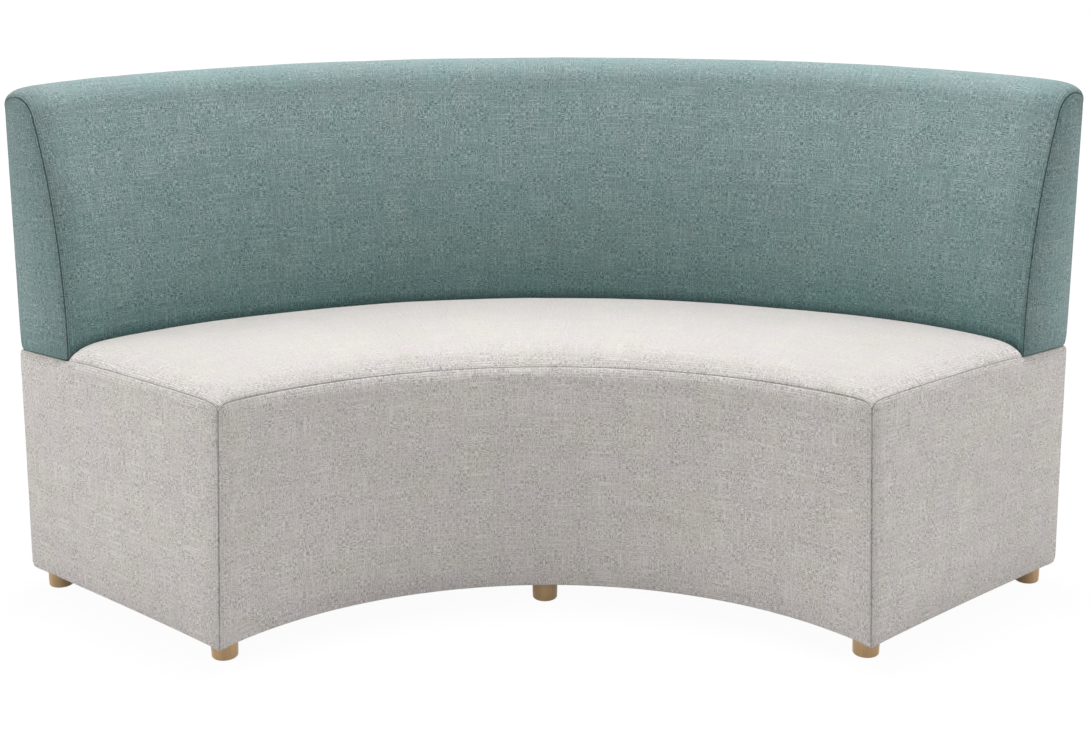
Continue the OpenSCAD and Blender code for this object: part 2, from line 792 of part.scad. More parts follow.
module back_bottom_rail() {
  front = frame_foot_r + (frame_head_r - frame_foot_r) * plate_t / (top_rail_top - back_z);
  color("burlywood") difference() {
    ring_between(end_layers)
      translate([front, back_z]) square([frame_rear_at(back_z) - front, plate_t]);
    back_bolt_bores(bolt_r);
    for (share = BACK_BOLT_SHARES)
      at_spot(back_bolt_r, share * half_angle)
        translate([0, 0, back_rail_top - nut_barrel_h])
          cylinder(r = nut_barrel_r, h = nut_barrel_h + over, $fn = round_fn);
    screws_up(FOOT_SCREWS, back_z);
  }
}

module back_top_rail() {
  front = frame_front_at(top_rail_top);
  color("burlywood") difference() {
    ring_between(end_layers)
      translate([front, top_rail_z]) square([frame_rear_at(top_rail_z) - front, plate_t]);
    screws_down(TOP_SCREWS, top_rail_top);
  }
}

module back_board_outline() {
  polygon([
    [frame_front_at(back_rail_top) + fit_gap, back_rail_top],
    [frame_front_at(top_rail_z) + fit_gap, top_rail_z],
    [frame_rear_at(top_rail_z) - fit_gap, top_rail_z],
    [frame_rear_at(back_rail_top) - fit_gap, back_rail_top]
  ]);
}

module back_screw_holes() {
  screws_down(TOP_SCREWS, top_rail_top);
  screws_up(FOOT_SCREWS, back_z);
}

module back_rib(angle) {
  color("tan") difference() {
    across(angle, board_t) back_board_outline();
    back_screw_holes();
  }
}

module back_end_board_right() {
  color("tan") difference() {
    along_end(end_layers, board_t) back_board_outline();
    back_screw_holes();
  }
}

module back_front_skin() {
  color("wheat") ring_between(end_layers)
    polygon([
      [frame_front_at(back_z) - back_skin_t, back_z],
      [frame_front_at(top_rail_top) - back_skin_t, top_rail_top],
      [frame_front_at(top_rail_top), top_rail_top],
      [frame_front_at(back_z), back_z]
    ]);
}

module back_rear_skin() {
  color("wheat") ring_between(end_layers)
    polygon([
      [frame_rear_at(back_z), back_z],
      [frame_rear_at(top_rail_top), top_rail_top],
      [frame_rear_at(top_rail_top) + rear_skin_t, top_rail_top],
      [frame_rear_at(back_z) + rear_skin_t, back_z]
    ]);
}

// Section of the back, from the strip turned in under it, up the front, over the top and
// down behind to the rear seam. Each row is radius, height and outward direction.
FACE_SHARES = [0.02, 0.14, 0.3, 0.46, 0.62, 0.78, 0.9];
ROUND_SHARES = [0, 0.2, 0.4, 0.6, 0.8, 1];
back_rows = concat(
  [
    [back_front_r + turn_in, joint_z, 0, -1],
    [back_front_r + cover_t, joint_z, 0, -1]
  ],
  [for (share = FACE_SHARES)
    let (z = back_z + share * (round_z - back_z), lean = atan(face_slope(z)))
    [face_at(z), z, -cos(lean), sin(lean)]],
  [for (share = ROUND_SHARES)
    let (turn = round_slope + share * (90 - round_slope))
    [round_mid_r - top_round * cos(turn), round_mid_z + top_round * sin(turn), -cos(turn), sin(turn)]],
  [
    [rear_top_r - small_round, back_top_z, 0, 1],
    [rear_top_r - small_round * (1 - sin(45)), back_top_z - small_round * (1 - cos(45)), sin(45), cos(45)],
    [rear_at(back_top_z - small_round), back_top_z - small_round, 1, 0],
    [rear_at(back_top_z - rear_seam_drop), back_top_z - rear_seam_drop, 1, 0]
  ]
);
function face_slope(z) = 2 * back_lean * max(z - lean_z, 0) / pow(round_z - lean_z, 2);

// A point of the padded back: a section row, swollen and crowned away from the end seams
function back_point(row, j, inset, depth) =
  let (
    angle = column_angle(j, back_cols, row[0], inset),
    inside = rolled(end_distance(row[0], angle), back_roll),
    rise_share = min(max((row[1] - joint_z) / (back_top_z - joint_z), 0), 1),
    high = max(rise_share - 1 + 3 * top_round / (back_top_z - joint_z), 0)
      / (3 * top_round / (back_top_z - joint_z)),
    swell = row[2] < 0 ? back_puff * sin(180 * pow(rise_share, 0.8)) * inside : 0,
    lift = row[1] > back_top_z - rear_seam_drop ? back_crown * high * high * inside : 0,
    place = spot(row[0] - depth * row[2] - swell, angle)
  )
  [place[0], place[1], row[1] - depth * row[3] + lift];

module back_cover() {
  color("cadetblue") sheet(
    [for (row = back_rows) [for (j = [0 : back_cols]) back_point(row, j, 0, 0)]],
    [for (row = back_rows) [for (j = [0 : back_cols]) back_point(row, j, cover_t, cover_t)]]
  );
}

module back_foam() {
  // The foam lies in front of the front skin and over the top rail
  outer_rows = [for (k = [2, 4, 6, 8, 10, 12, 14, 15]) back_rows[k]];
  function core(row) =
    row[1] < round_z
      ? [frame_front_at(row[1]) - back_skin_t, max(row[1], back_z)]
      : [max(row[0], frame_head_r - back_skin_t), top_rail_top];
  color("khaki") sheet(
    [for (row = outer_rows)
      [for (j = [0 : back_cols]) back_point(row, j, end_layers, cover_t + dust_t)]],
    [for (row = outer_rows)
      [for (j = [0 : back_cols])
        let (
          seat = core(row),
          place = spot(seat[0], column_angle(j, back_cols, seat[0], end_layers))
        )
        [place[0], place[1], seat[1]]]]
  );
}

// End panels of the back, drawn on the right end plane
function face_edge_at(z) =
  z < round_z
    ? face_at(z)
    : round_mid_r - sqrt(max(top_round * top_round - pow(z - round_mid_z, 2), 0));

BACK_END_COLUMN_SHARES = [0, 0.08, 0.3, 0.6, 0.9, 1];
BACK_END_ROW_SHARES = [0, 0.04, 0.2, 0.4, 0.6, 0.8, 0.9, 0.945, 0.975, 0.993, 1];

function back_end_point(across_share, rise_share, out) =
  let (
    low = joint_z,
    high = back_top_z - cover_t,
    z = low + rise_share * (high - low),
    near = face_edge_at(min(z + cover_t, back_top_z)) + cover_t / 2,
    far = rear_at(z) - cover_t - corner_in(back_top_z - z, small_round),
    radius = near + across_share * (far - near),
    swell = back_end_bulge * sqrt(max(sin(180 * across_share) * sin(180 * rise_share), 0)),
    place = end_place(radius, out < 0 ? out : swell)
  )
  [place[0], place[1], z];

module back_end_cover_right() {
  color("cadetblue") sheet(
    [for (rise = BACK_END_ROW_SHARES)
      [for (across = BACK_END_COLUMN_SHARES) back_end_point(across, rise, 0)]],
    [for (rise = BACK_END_ROW_SHARES)
      [for (across = BACK_END_COLUMN_SHARES) back_end_point(across, rise, -cover_t)]]
  );
}

module back_end_padding_right() {
  rows = [for (row = back_rows) if (row[2] < 0 || row[3] > 0) row];
  face = [for (row = rows) [row[0] - 2 * cover_t * row[2], row[1] - 2 * cover_t * row[3]]];
  color("khaki") along_end(cover_t, end_pad_t)
    polygon(concat(
      [[rear_at(back_z) - 2 * cover_t, back_z], [back_front_r + 2 * cover_t, back_z]],
      face
    ));
}

module back_rear_padding() {
  wall_z = joint_z + small_round;
  curve = small_round - cover_t - fit_gap;
  middle = [rear_at(wall_z) - small_round, wall_z];
  color("khaki") ring_between(end_layers)
    polygon(concat(
      [
        [rear_at(back_z) - cover_t - rear_pad_t, back_z + fit_gap],
        [rear_at(top_rail_top) - cover_t - rear_pad_t, top_rail_top],
        [rear_at(top_rail_top) - cover_t - fit_gap, top_rail_top]
      ],
      reversed(corner_arc(middle, curve, -90))
    ));
}

module back_rear_cover() {
  seam = back_top_z - rear_seam_drop - fit_gap;
  wall_z = joint_z + small_round;
  middle = [rear_at(wall_z) - small_round, wall_z];
  inner = corner_arc(middle, small_round - cover_t, -90);
  outer = corner_arc(middle, small_round, -90);
  color("cadetblue") ring_between(0)
    polygon(concat(
      [[rear_at(joint_z) - turn_in, joint_z]],
      outer,
      [[rear_at(seam), seam], [rear_at(seam) - cover_t, seam]],
      reversed(inner),
      [[rear_at(joint_z) - turn_in, back_z]]
    ));
}

// Bolts that hold the back on the seat box

module back_bolts() {
  shank = back_rail_top - rail_under + washer_t;
  color("silver") for (share = BACK_BOLT_SHARES)
    at_spot(back_bolt_r, share * half_angle) translate([0, 0, rail_under - washer_t]) {
      cylinder(r = bolt_r, h = shank, $fn = round_fn);
      translate([0, 0, -head_h]) cylinder(r = head_flats / (2 * cos(30)), h = head_h, $fn = 6);
    }
}

module back_washers() {
  color("silver") for (share = BACK_BOLT_SHARES)
    at_spot(back_bolt_r, share * half_angle) translate([0, 0, rail_under - washer_t]) difference() {
      cylinder(r = washer_r, h = washer_t, $fn = round_fn);
      translate([0, 0, -over]) cylinder(r = bolt_r, h = washer_t + 2 * over, $fn = round_fn);
    }
}

module back_nuts() {
  color("silver") for (share = BACK_BOLT_SHARES)
    at_spot(back_bolt_r, share * half_angle) translate([0, 0, back_rail_top]) tee_nut();
}

bottom_plate();
seat_deck();
mirrored() end_board_right();  // end_board_left
end_board_right();
base_rib(BASE_RIBS[0]);  // base_rib_outer_left
base_rib(BASE_RIBS[1]);  // base_rib_inner_left
base_rib(BASE_RIBS[2]);  // base_rib_inner_right
base_rib(BASE_RIBS[3]);  // base_rib_outer_right
base_front_skin();
base_rear_skin();
rear_top_rail();
seat_riser();
mirrored() corner_block(0);  // foot_block_front_left
centre_block(0);  // foot_block_front_centre
corner_block(0);  // foot_block_front_right
mirrored() corner_block(1);  // foot_block_rear_left
centre_block(1);  // foot_block_rear_centre
corner_block(1);  // foot_block_rear_right
foot(0);  // foot_front_left
foot(1);  // foot_front_centre
foot(2);  // foot_front_right
foot(3);  // foot_rear_left
foot(4);  // foot_rear_centre
foot(5);  // foot_rear_right
foot_bolts();
foot_nuts();
foot_glides();
seat_foam();
front_padding();
mirrored() end_padding_right();  // end_padding_left
end_padding_right();
rear_padding();
seat_cover();
front_cover();
mirrored() end_cover_right();  // end_cover_left
end_cover_right();
rear_cover();
dust_cover();
back_bottom_rail();
back_top_rail();
mirrored() back_end_board_right();  // back_end_board_left
back_end_board_right();
back_rib(BACK_RIBS[0]);  // back_rib_left
back_rib(BACK_RIBS[1]);  // back_rib_centre
back_rib(BACK_RIBS[2]);  // back_rib_right
back_front_skin();
back_rear_skin();
back_foam();
mirrored() back_end_padding_right();  // back_end_padding_left
back_end_padding_right();
back_rear_padding();
back_cover();
mirrored() back_end_cover_right();  // back_end_cover_left
back_end_cover_right();
back_rear_cover();
back_bolts();
back_washers();
back_nuts();
base_screws();
back_screws();
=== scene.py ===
import json
import math

import bmesh
import bpy
import numpy as np
from mathutils import Matrix, Vector

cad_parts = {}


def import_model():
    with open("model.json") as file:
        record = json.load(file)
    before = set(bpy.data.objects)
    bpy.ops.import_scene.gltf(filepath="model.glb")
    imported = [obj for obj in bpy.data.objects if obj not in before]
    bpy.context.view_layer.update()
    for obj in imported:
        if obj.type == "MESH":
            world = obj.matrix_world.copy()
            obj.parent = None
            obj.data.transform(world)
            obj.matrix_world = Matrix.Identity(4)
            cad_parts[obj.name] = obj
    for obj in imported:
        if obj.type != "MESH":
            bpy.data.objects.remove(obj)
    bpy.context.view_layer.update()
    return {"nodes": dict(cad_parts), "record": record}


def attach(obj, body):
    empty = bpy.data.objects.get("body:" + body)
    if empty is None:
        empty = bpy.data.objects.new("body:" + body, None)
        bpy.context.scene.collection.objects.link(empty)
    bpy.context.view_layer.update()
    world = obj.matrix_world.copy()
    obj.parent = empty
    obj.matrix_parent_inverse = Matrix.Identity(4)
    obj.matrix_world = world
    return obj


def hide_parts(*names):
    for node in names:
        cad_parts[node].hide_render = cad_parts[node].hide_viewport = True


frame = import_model()
scene = bpy.context.scene

# Sizes of the bench in millimetres, as in the CAD source
HALF = math.radians(49.75)
FRONT_R, FRONT_LEAN = 695.0, 22.0
REAR_R, REAR_LEAN = 1220.0, 8.0
HEM, SEAM, JOINT, TOP = 37.0, 458.0, 453.5, 911.0
FOLD = HEM + 0.8
BACK_R, BACK_LEAN, LEAN_START, TOP_ROUND = 1083.0, 68.0, 16.0, 50.0
DECK = SEAM - 60.0
SEAM_R = FRONT_R - FRONT_LEAN
CENTRE_Y = -(REAR_R + REAR_LEAN + SEAM_R * math.cos(HALF)) / 2
LEAN_Z = JOINT + LEAN_START
REAR_SEAM = TOP - 17.0
GROOVE = 0.9  # how deep the seat's seam is drawn in
CORNER = 1.7  # how deep the upright seams of the seat box are
BACK_GROOVE = 1.9  # how deep the seams of the back are, whose foam is softer
SEAT_MID_R, FRONT_MID_R, BACK_MID_R = 850.0, 684.0, 1150.0  # where the cloth of a panel is measured along


def lean_slope(z):
    return math.atan(2 * BACK_LEAN / (z - LEAN_Z))


# Where the leaning face runs into the round of the top
ROUND_Z = TOP - TOP_ROUND
for _ in range(6):
    ROUND_Z = TOP - TOP_ROUND * (1 - math.sin(lean_slope(ROUND_Z)))
ROUND_SLOPE = lean_slope(ROUND_Z)
ROUND_MID = (BACK_R + BACK_LEAN + TOP_ROUND * math.cos(ROUND_SLOPE), TOP - TOP_ROUND)


def front_at(z):
    return FRONT_R - FRONT_LEAN * (z - HEM) / (SEAM - HEM)


def rear_at(z):
    return REAR_R + REAR_LEAN * (z - JOINT) / (TOP - JOINT)


def face_at(z):
    return BACK_R + BACK_LEAN * (np.maximum(z - LEAN_Z, 0) / (ROUND_Z - LEAN_Z)) ** 2


def crown(r, z, d, a):
    """How far the top of the back stands above its plain section; less so at the rear and the ends."""
    share = np.clip((z - JOINT) / (TOP - JOINT), 0, 1)
    high = np.clip(1 - (1 - share) / 0.33, 0, 1)
    behind = np.clip((r - ROUND_MID[0]) / (REAR_R + REAR_LEAN - ROUND_MID[0]), 0, 1)
    near = decay(d, 10.0)
    lift = high**2 * (6.0 * (1 - near) + 6.3 * rise(d, 150) * (1 - 0.35 * behind))
    roll = high * (7.5 * near + (5.0 + 5.0 * decay(d, 25.0)) * behind**2)
    return lift - roll + high * (2.4 * a / HALF - 2.5 * decay(d, 50.0))


def proud(d, a):
    """How far the face of the back stands out; the cover is fuller at the left end than at the right."""
    d = np.maximum(d, 0)
    near = np.exp(-d / 30.0)
    left = 10.0 * near + 6.0 * (d / 25.0) * np.exp(1 - d / 25.0)
    return np.where(a < 0, left, 0.0) + 5.0 * (1 - near)


def lean_in(z, d, a):
    """The left end of the back leans in a little, most at its top."""
    share = np.clip((z - JOINT) / (TOP - JOINT), 0, 1)
    held = decay(d, 180.0) * np.clip((z - JOINT) / 20.0, 0, 1)
    return np.where(a < 0, 1.0 + 3.5 * share, 0.0) * held


def joint_drop(r, z):
    """The joint between back and seat box runs a little lower towards the rear."""
    behind = np.clip((r - BACK_R) / (REAR_R - BACK_R), 0, 1)
    return -(1.5 + 3.0 * behind) * decay(z - JOINT, 40.0)


def rear_draw(d):
    """The rear of the back is drawn in towards its end seams."""
    return 1.0 * decay(d, 16.0)


def tuck(up):
    """The foot of the back curves in a little towards the joint."""
    return 7.0 * decay(up, 9.0)


def droop(away, reach):
    """The hem hangs a little lower at the front corners."""
    return 6.0 * decay(away, reach)


def end_distance(r, a):
    """Distance from the nearer end plane."""
    return r * np.sin(np.maximum(HALF - np.abs(a), 0))


def polar(r, a, z, out=0.0):
    """Points from radius, angle and height; out moves them off the nearer end plane."""
    r, a, z, out = np.broadcast_arrays(r, a, z, out)
    side = np.sign(a)
    x = r * np.sin(a) + out * side * math.cos(HALF)
    y = r * np.cos(a) - out * math.sin(HALF)
    return np.stack([x, y + CENTRE_Y, z], -1) / 1000.0


# Smooth noise from a fixed table, so that each run gives the same cloth
CELLS = 64
TABLE = np.random.RandomState(7).rand(CELLS, CELLS) * 2 - 1
SEED_X, SEED_Y = 17.31, 5.77  # how far apart the noise of two seeds lies


def noise(x, y, seed=0):
    """Smooth noise from -1 to 1, with one cell of the table to each unit."""
    x = np.asarray(x, float) + seed * SEED_X
    y = np.asarray(y, float) + seed * SEED_Y
    x, y = np.broadcast_arrays(x, y)
    i, j = np.floor(x).astype(int), np.floor(y).astype(int)
    fx, fy = x - i, y - j
    fx, fy = fx * fx * (3 - 2 * fx), fy * fy * (3 - 2 * fy)
    here, right = i % CELLS, (i + 1) % CELLS
    low = TABLE[here, j % CELLS] * (1 - fx) + TABLE[right, j % CELLS] * fx
    above = (j + 1) % CELLS
    high = TABLE[here, above] * (1 - fx) + TABLE[right, above] * fx
    return low * (1 - fy) + high * fy


def pucker(along, away, seed, amp=0.45, wave=12.0, reach=15.0):
    """Small gathers that run square to a seam and die away from it."""
    n = noise(along / wave, away / 45.0, seed) + 0.5 * noise(along / wave * 2.3, away / 30.0, seed + 3)
    return amp * n * np.exp(-away / reach) * (1 - np.exp(-away / 2.2))


def undulate(u, v, seed, amp=0.4):
    """The slow unevenness of cloth over foam."""
    return amp * (noise(u / 95.0, v / 80.0, seed) + 0.5 * noise(u / 38.0, v / 41.0, seed + 1))


def decay(d, reach):
    """One at d = 0 and before it, and nearly nothing once d is past two or three times reach."""
    return np.exp(-np.maximum(d, 0) / reach)


def rise(d, reach):
    """Nothing at d = 0, and nearly one once d is past two or three times reach."""
    return 1 - decay(d, reach)


def groove(d, deep=GROOVE):
    """How far the cloth is drawn in beside a seam, over about a millimetre."""
    return deep * np.exp(-(np.maximum(d, 0) ** 2))


def gathered(d, deep=CORNER):
    """How far the edge of a panel runs into the drawn-in seam beside it."""
    return deep * np.exp(-((d / 2.0) ** 2))


# Distances from a seam at which every panel has a row of points, closer together near the seam
EDGE = np.array([0, 0.45, 0.9, 1.4, 2.0, 2.8, 3.8, 5, 6.6, 8.6, 11, 14, 17.5, 22, 27])


def spread(length, step=6.5, edge=EDGE):
    """Places along a length: crowded near both ends, and at most a step apart between them."""
    inner = length - 2 * edge[-1]
    count = max(int(math.ceil(inner / step)), 1)
    between = edge[-1] + inner * np.arange(1, count) / count
    return np.concatenate([edge, between, length - edge[::-1]])


# Materials

LOOKS = {}
YARNS, FLOATS = 760.0, 130.0  # yarns to the metre, and floats to the metre along one yarn
YARN_PITCH = 1.7  # from one yarn of the weave's relief to the next
RIB_PITCH, RIB_REACH = 4.2, 24.0  # the ribs beside a seam, and how far from it they show
STITCH_LINE = 4.9  # from a seam to the row of stitches beside it


class Net:
    """A short way to write a node tree."""

    def __init__(self, name):
        self.material = bpy.data.materials.new(name)
        self.material.use_nodes = True
        self.tree = self.material.node_tree
        self.tree.nodes.clear()
        LOOKS[name] = self.material

    def node(self, kind, inputs=(), **props):
        n = self.tree.nodes.new(kind)
        for key, value in props.items():
            setattr(n, key, value)
        for key, value in dict(inputs).items():
            if isinstance(value, bpy.types.NodeSocket):
                self.tree.links.new(value, n.inputs[key])
            elif value is not None:
                n.inputs[key].default_value = value
        return n

    def place(self):
        return self.node("ShaderNodeTexCoord").outputs["Object"]

    def attribute(self, word):
        return self.node("ShaderNodeAttribute", attribute_name=word).outputs["Fac"]

    def math(self, op, a, b=None):
        return self.node("ShaderNodeMath", {0: a, 1: b}, operation=op).outputs[0]

    def plus(self, a, b):
        return self.math("ADD", a, b)

    def minus(self, a, b):
        return self.math("SUBTRACT", a, b)

    def times(self, a, b):
        return self.math("MULTIPLY", a, b)

    def scale(self, vector, by):
        return self.node("ShaderNodeVectorMath", {0: vector, 1: by}, operation="MULTIPLY").outputs[0]

    def noise(self, vector, scale=1.0, detail=2.0, rough=0.5, distort=0.0):
        n = self.node(
            "ShaderNodeTexNoise",
            {"Vector": vector, "Scale": scale, "Detail": detail, "Roughness": rough, "Distortion": distort},
        )
        return n.outputs[0]

    def grain(self, vector, across, along):
        """Noise with one size of grain, given as counts to the metre both ways."""
        sockets = {"Vector": self.scale(vector, (across, along, 0)), "Scale": 1.0, "Detail": 0.0}
        return self.node("ShaderNodeTexNoise", sockets, noise_dimensions="2D").outputs[0]

    def ramp(self, value, stops):
        n = self.node("ShaderNodeValToRGB", {0: value})
        elements = n.color_ramp.elements
        while len(elements) < len(stops):
            elements.new(0.5)
        for element, (place, colour) in zip(elements, stops):
            element.position = place
            element.color = (*colour, 1)
        return n.outputs[0]

    def span(self, value, low, high, to_low=0.0, to_high=1.0):
        n = self.node("ShaderNodeMapRange", {0: value, 1: low, 2: high, 3: to_low, 4: to_high}, clamp=True)
        return n.outputs[0]

    def mix(self, factor, a, b, blend="MIX"):
        n = self.node("ShaderNodeMix", {0: factor}, data_type="RGBA", blend_type=blend)
        for key, value in ((6, a), (7, b)):
            if isinstance(value, bpy.types.NodeSocket):
                self.tree.links.new(value, n.inputs[key])
            else:
                n.inputs[key].default_value = (*value, 1)
        return n.outputs[2]

    def tinted(self, colour, by):
        return self.mix(1.0, colour, by, "MULTIPLY")

    def blend(self, factor, a, b):
        return self.node("ShaderNodeMix", {0: factor, 2: a, 3: b}, data_type="FLOAT").outputs[0]

    def warped(self, vector, by):
        """The same place, moved about a little, so that yarns wander."""
        n = self.node("ShaderNodeTexNoise", {"Vector": vector, "Scale": 45.0, "Detail": 1.0})
        middle = (0.5, 0.5, 0.5)
        off = self.node("ShaderNodeVectorMath", {0: n.outputs["Color"], 1: middle}, operation="SUBTRACT")
        off = self.node("ShaderNodeVectorMath", {0: off.outputs[0], "Scale": by}, operation="SCALE")
        return self.node("ShaderNodeVectorMath", {0: vector, 1: off.outputs[0]}, operation="ADD").outputs[0]

    def grey(self, value):
        return self.node("ShaderNodeCombineColor", {0: value, 1: value, 2: value}).outputs[0]

    def bump(self, height, strength, distance):
        sockets = {"Height": height, "Strength": strength, "Distance": distance}
        return self.node("ShaderNodeBump", sockets).outputs[0]

    def surface(self, colour, normal, **sockets):
        shader = self.node("ShaderNodeBsdfPrincipled", {"Base Color": colour, "Normal": normal})
        for key, value in sockets.items():
            socket = shader.inputs[key.replace("_", " ")]
            if isinstance(value, bpy.types.NodeSocket):
                self.tree.links.new(value, socket)
            else:
                socket.default_value = value
        self.node("ShaderNodeOutputMaterial", {0: shader.outputs[0]})


def linen(name, base, light, dark, tints, size, amount, stitched, ridge, painted_light_ramps=()):
    """A plain-woven melange cloth: floats and specks of yarn, ribs beside the seams, wear and tints, and
    painted light and shade.
    """
    n = Net(name)
    cloth = n.node("ShaderNodeAttribute", attribute_name="cloth").outputs["Vector"]
    seam = n.attribute("seam")
    worn = n.attribute("worn")
    place = n.place()
    fine, long = YARNS / size, FLOATS / size
    warp = n.grain(cloth, fine, long)
    weft = n.grain(cloth, long, fine)
    speck = n.grain(cloth, 0.8 * fine, 0.8 * fine)
    # Patches where the upright yarns lie on top, and where the grain is strong or faint
    side = n.span(n.grain(cloth, 61, 57), 0.46, 0.54)
    strong = n.span(n.grain(cloth, 29, 33), 0.36, 0.64, 0.62 * amount, 1.32 * amount)
    strong = n.times(strong, n.minus(1.0, n.times(worn, 0.75)))
    floats = n.blend(side, warp, weft)
    grain = n.plus(n.times(speck, 0.45), n.times(floats, 1.15))
    grain = n.times(n.minus(grain, 0.8), strong)
    # Yarns that lie along a seam stand out as a few fine ribs
    near = n.span(seam, RIB_REACH, 3.0)
    rib = n.math("SINE", n.times(seam, 2 * math.pi / RIB_PITCH))
    ribs = n.times(n.times(rib, near), n.times(floats, 0.26))
    # Slubs, which run much further along a yarn, and dark knots; both are fainter where the cloth is worn
    slub = n.math("MAXIMUM", n.grain(cloth, 0.66 * fine, 17), n.grain(cloth, 14, 0.63 * fine))
    slubs = n.span(slub, 0.62, 0.72, 0.0, 0.19 * amount)
    knots = n.span(n.grain(cloth, 0.4 * fine, 0.28 * fine), 0.25, 0.19, 0.0, 0.2 * amount)
    slubs = n.times(n.minus(slubs, knots), n.minus(1.0, n.times(worn, 0.6)))
    # The yarns themselves, one over and one under
    turn = 2 * math.pi * 500.0 / YARN_PITCH / size
    split = n.node("ShaderNodeSeparateXYZ", {0: n.warped(cloth, 0.0066 * size)})
    across, along = (n.math("SINE", n.times(split.outputs[k], turn)) for k in (0, 1))
    weave = n.math("ABSOLUTE", n.times(across, along))
    tone = n.plus(n.plus(grain, 0.5), n.plus(ribs, slubs))
    tone = n.plus(tone, n.times(n.minus(weave, 0.4), 0.10))
    colour = n.ramp(tone, [(0.22, dark), (0.51, base), (0.86, light)])
    # Broad tints and clouds of the dyeing
    hue = n.noise(place, 13.0, 2.0, 0.6)
    colour = n.tinted(colour, n.ramp(hue, [(0.38, tints[0]), (0.62, tints[1])]))
    cloudy = n.noise(place, 4.5, 3.0, 0.6)
    colour = n.tinted(colour, n.grey(n.span(cloudy, 0.3, 0.7, 0.965, 1.025)))
    # Painted light and shade: paler high up the back, where light falls from above, and painted shade down
    # where the back meets the seat; then each panel's own painted highlights and shade
    for high, dim, full in painted_light_ramps:
        colour = n.tinted(colour, n.mix(n.span(n.attribute("painted_shade_mask"), 0.0, high), dim, full))
    colour = n.tinted(colour, n.grey(n.plus(n.attribute("painted_light"), 1.0)))
    # Paler in rubbed patches beside the seams
    rub = n.times(n.span(seam, 9.0, 2.4), n.span(n.noise(place, 38.0, 2.0), 0.42, 0.66))
    colour = n.mix(n.times(rub, 0.14), colour, light)
    colour = n.tinted(colour, n.mix(n.span(seam, 0.15, 1.5), stitched, (1.0, 1.0, 1.0)))
    # The row of stitches that holds the seam allowance down shows as a second, fainter line
    off = n.math("ABSOLUTE", n.minus(seam, STITCH_LINE))
    colour = n.tinted(colour, n.grey(n.span(off, 0.2, 1.3, 1.0 - ridge, 1.0)))
    height = n.plus(n.times(weave, 0.35), n.times(slubs, 2.5))
    height = n.plus(height, n.times(n.plus(grain, ribs), 1.6))
    n.surface(
        colour,
        n.bump(height, 0.55, 0.0007),
        Roughness=n.span(tone, 0.3, 0.7, 0.97, 0.87),
        Sheen_Weight=0.25,
        Sheen_Roughness=0.5,
        Specular_IOR_Level=0.2,
    )


linen(
    "oat_linen",
    base=(0.735, 0.688, 0.651),
    light=(0.925, 0.895, 0.868),
    dark=(0.45, 0.414, 0.387),
    tints=((1.0, 0.985, 1.0), (1.0, 1.0, 0.972)),
    size=0.86,
    amount=0.95,
    stitched=(0.62, 0.62, 0.62),
    ridge=0.08,
)
linen(
    "sage_linen",
    base=(0.218, 0.326, 0.319),
    light=(0.395, 0.535, 0.53),
    dark=(0.100, 0.176, 0.177),
    tints=((1.035, 1.0, 1.0), (0.965, 1.0, 0.995)),
    size=0.9,
    amount=0.8,
    stitched=(0.12, 0.24, 0.235),
    ridge=0.3,
    # Painted light and shade up the back: darker down where it meets the seat, paler towards the top where
    # light falls from above
    painted_light_ramps=(
        (440.0, (0.77, 0.82, 0.815), (1.24, 1.14, 1.14)),
        (95.0, (0.68, 0.79, 0.785), (1.0, 1.0, 1.0)),
        (22.0, (0.45, 0.50, 0.50), (1.0, 1.0, 1.0)),
    ),
)


def wood(name, light, dark, grain, rings, rough, strength=0.25, coat=0.0):
    """Wood whose fibres and rings are given as counts to the metre along each axis."""
    n = Net(name)
    place = n.place()
    long = n.scale(place, grain)
    band = n.noise(n.scale(place, rings), 1.0, 3.0, 0.6, 0.8)
    fibre = n.noise(long, 1.0, 4.0, 0.65)
    tone = n.plus(n.times(band, 0.55), n.times(fibre, 0.45))
    between = tuple((a + b) / 2 for a, b in zip(light, dark))
    colour = n.ramp(tone, [(0.32, dark), (0.50, between), (0.66, light)])
    pores = n.span(n.noise(n.scale(long, (1.9, 1.9, 1.0)), 1.0, 2.0), 0.60, 0.70)
    colour = n.mix(n.times(pores, 0.35), colour, tuple(0.55 * c for c in dark))
    worn = n.span(n.noise(place, 55.0, 3.0), 0.45, 0.7)
    colour = n.mix(n.times(worn, 0.12), colour, tuple(min(1.15 * c, 1) for c in light))
    n.surface(
        colour,
        n.bump(n.minus(fibre, n.times(pores, 0.6)), strength, 0.0004),
        Roughness=n.span(fibre, 0.3, 0.7, rough - 0.08, rough + 0.1),
        Coat_Weight=coat,
        Coat_Roughness=0.3,
    )


wood("foot_beech", (0.70, 0.46, 0.23), (0.535, 0.33, 0.148), (420, 420, 26), (75, 75, 9), 0.42, 0.2, 0.15)
wood("birch_ply", (0.78, 0.63, 0.43), (0.60, 0.45, 0.29), (60, 300, 260), (9, 60, 60), 0.7)
wood("bent_ply", (0.80, 0.66, 0.47), (0.64, 0.50, 0.33), (300, 300, 45), (50, 50, 7), 0.7)
wood("block_pine", (0.74, 0.56, 0.35), (0.56, 0.39, 0.22), (35, 260, 260), (6, 45, 45), 0.72)


def plain(name, colour, rough, metal=0.0, scale=900.0, spread_by=0.14, bump=0.25):
    """A plain substance with a fine grain and broad clouds of tone."""
    n = Net(name)
    place = n.place()
    fine = n.noise(place, scale, 3.0, 0.6)
    broad = n.noise(place, scale / 30.0, 3.0, 0.55)
    tone = n.plus(n.times(fine, 0.5), n.times(broad, 0.5))
    low, high = (tuple(min(c * k, 1) for c in colour) for k in (1 - spread_by, 1 + spread_by))
    n.surface(
        n.ramp(tone, [(0.35, low), (0.65, high)]),
        n.bump(fine, bump, 0.0003),
        Roughness=n.span(broad, 0.3, 0.7, rough - 0.1, min(rough + 0.1, 1.0)),
        Metallic=metal,
    )


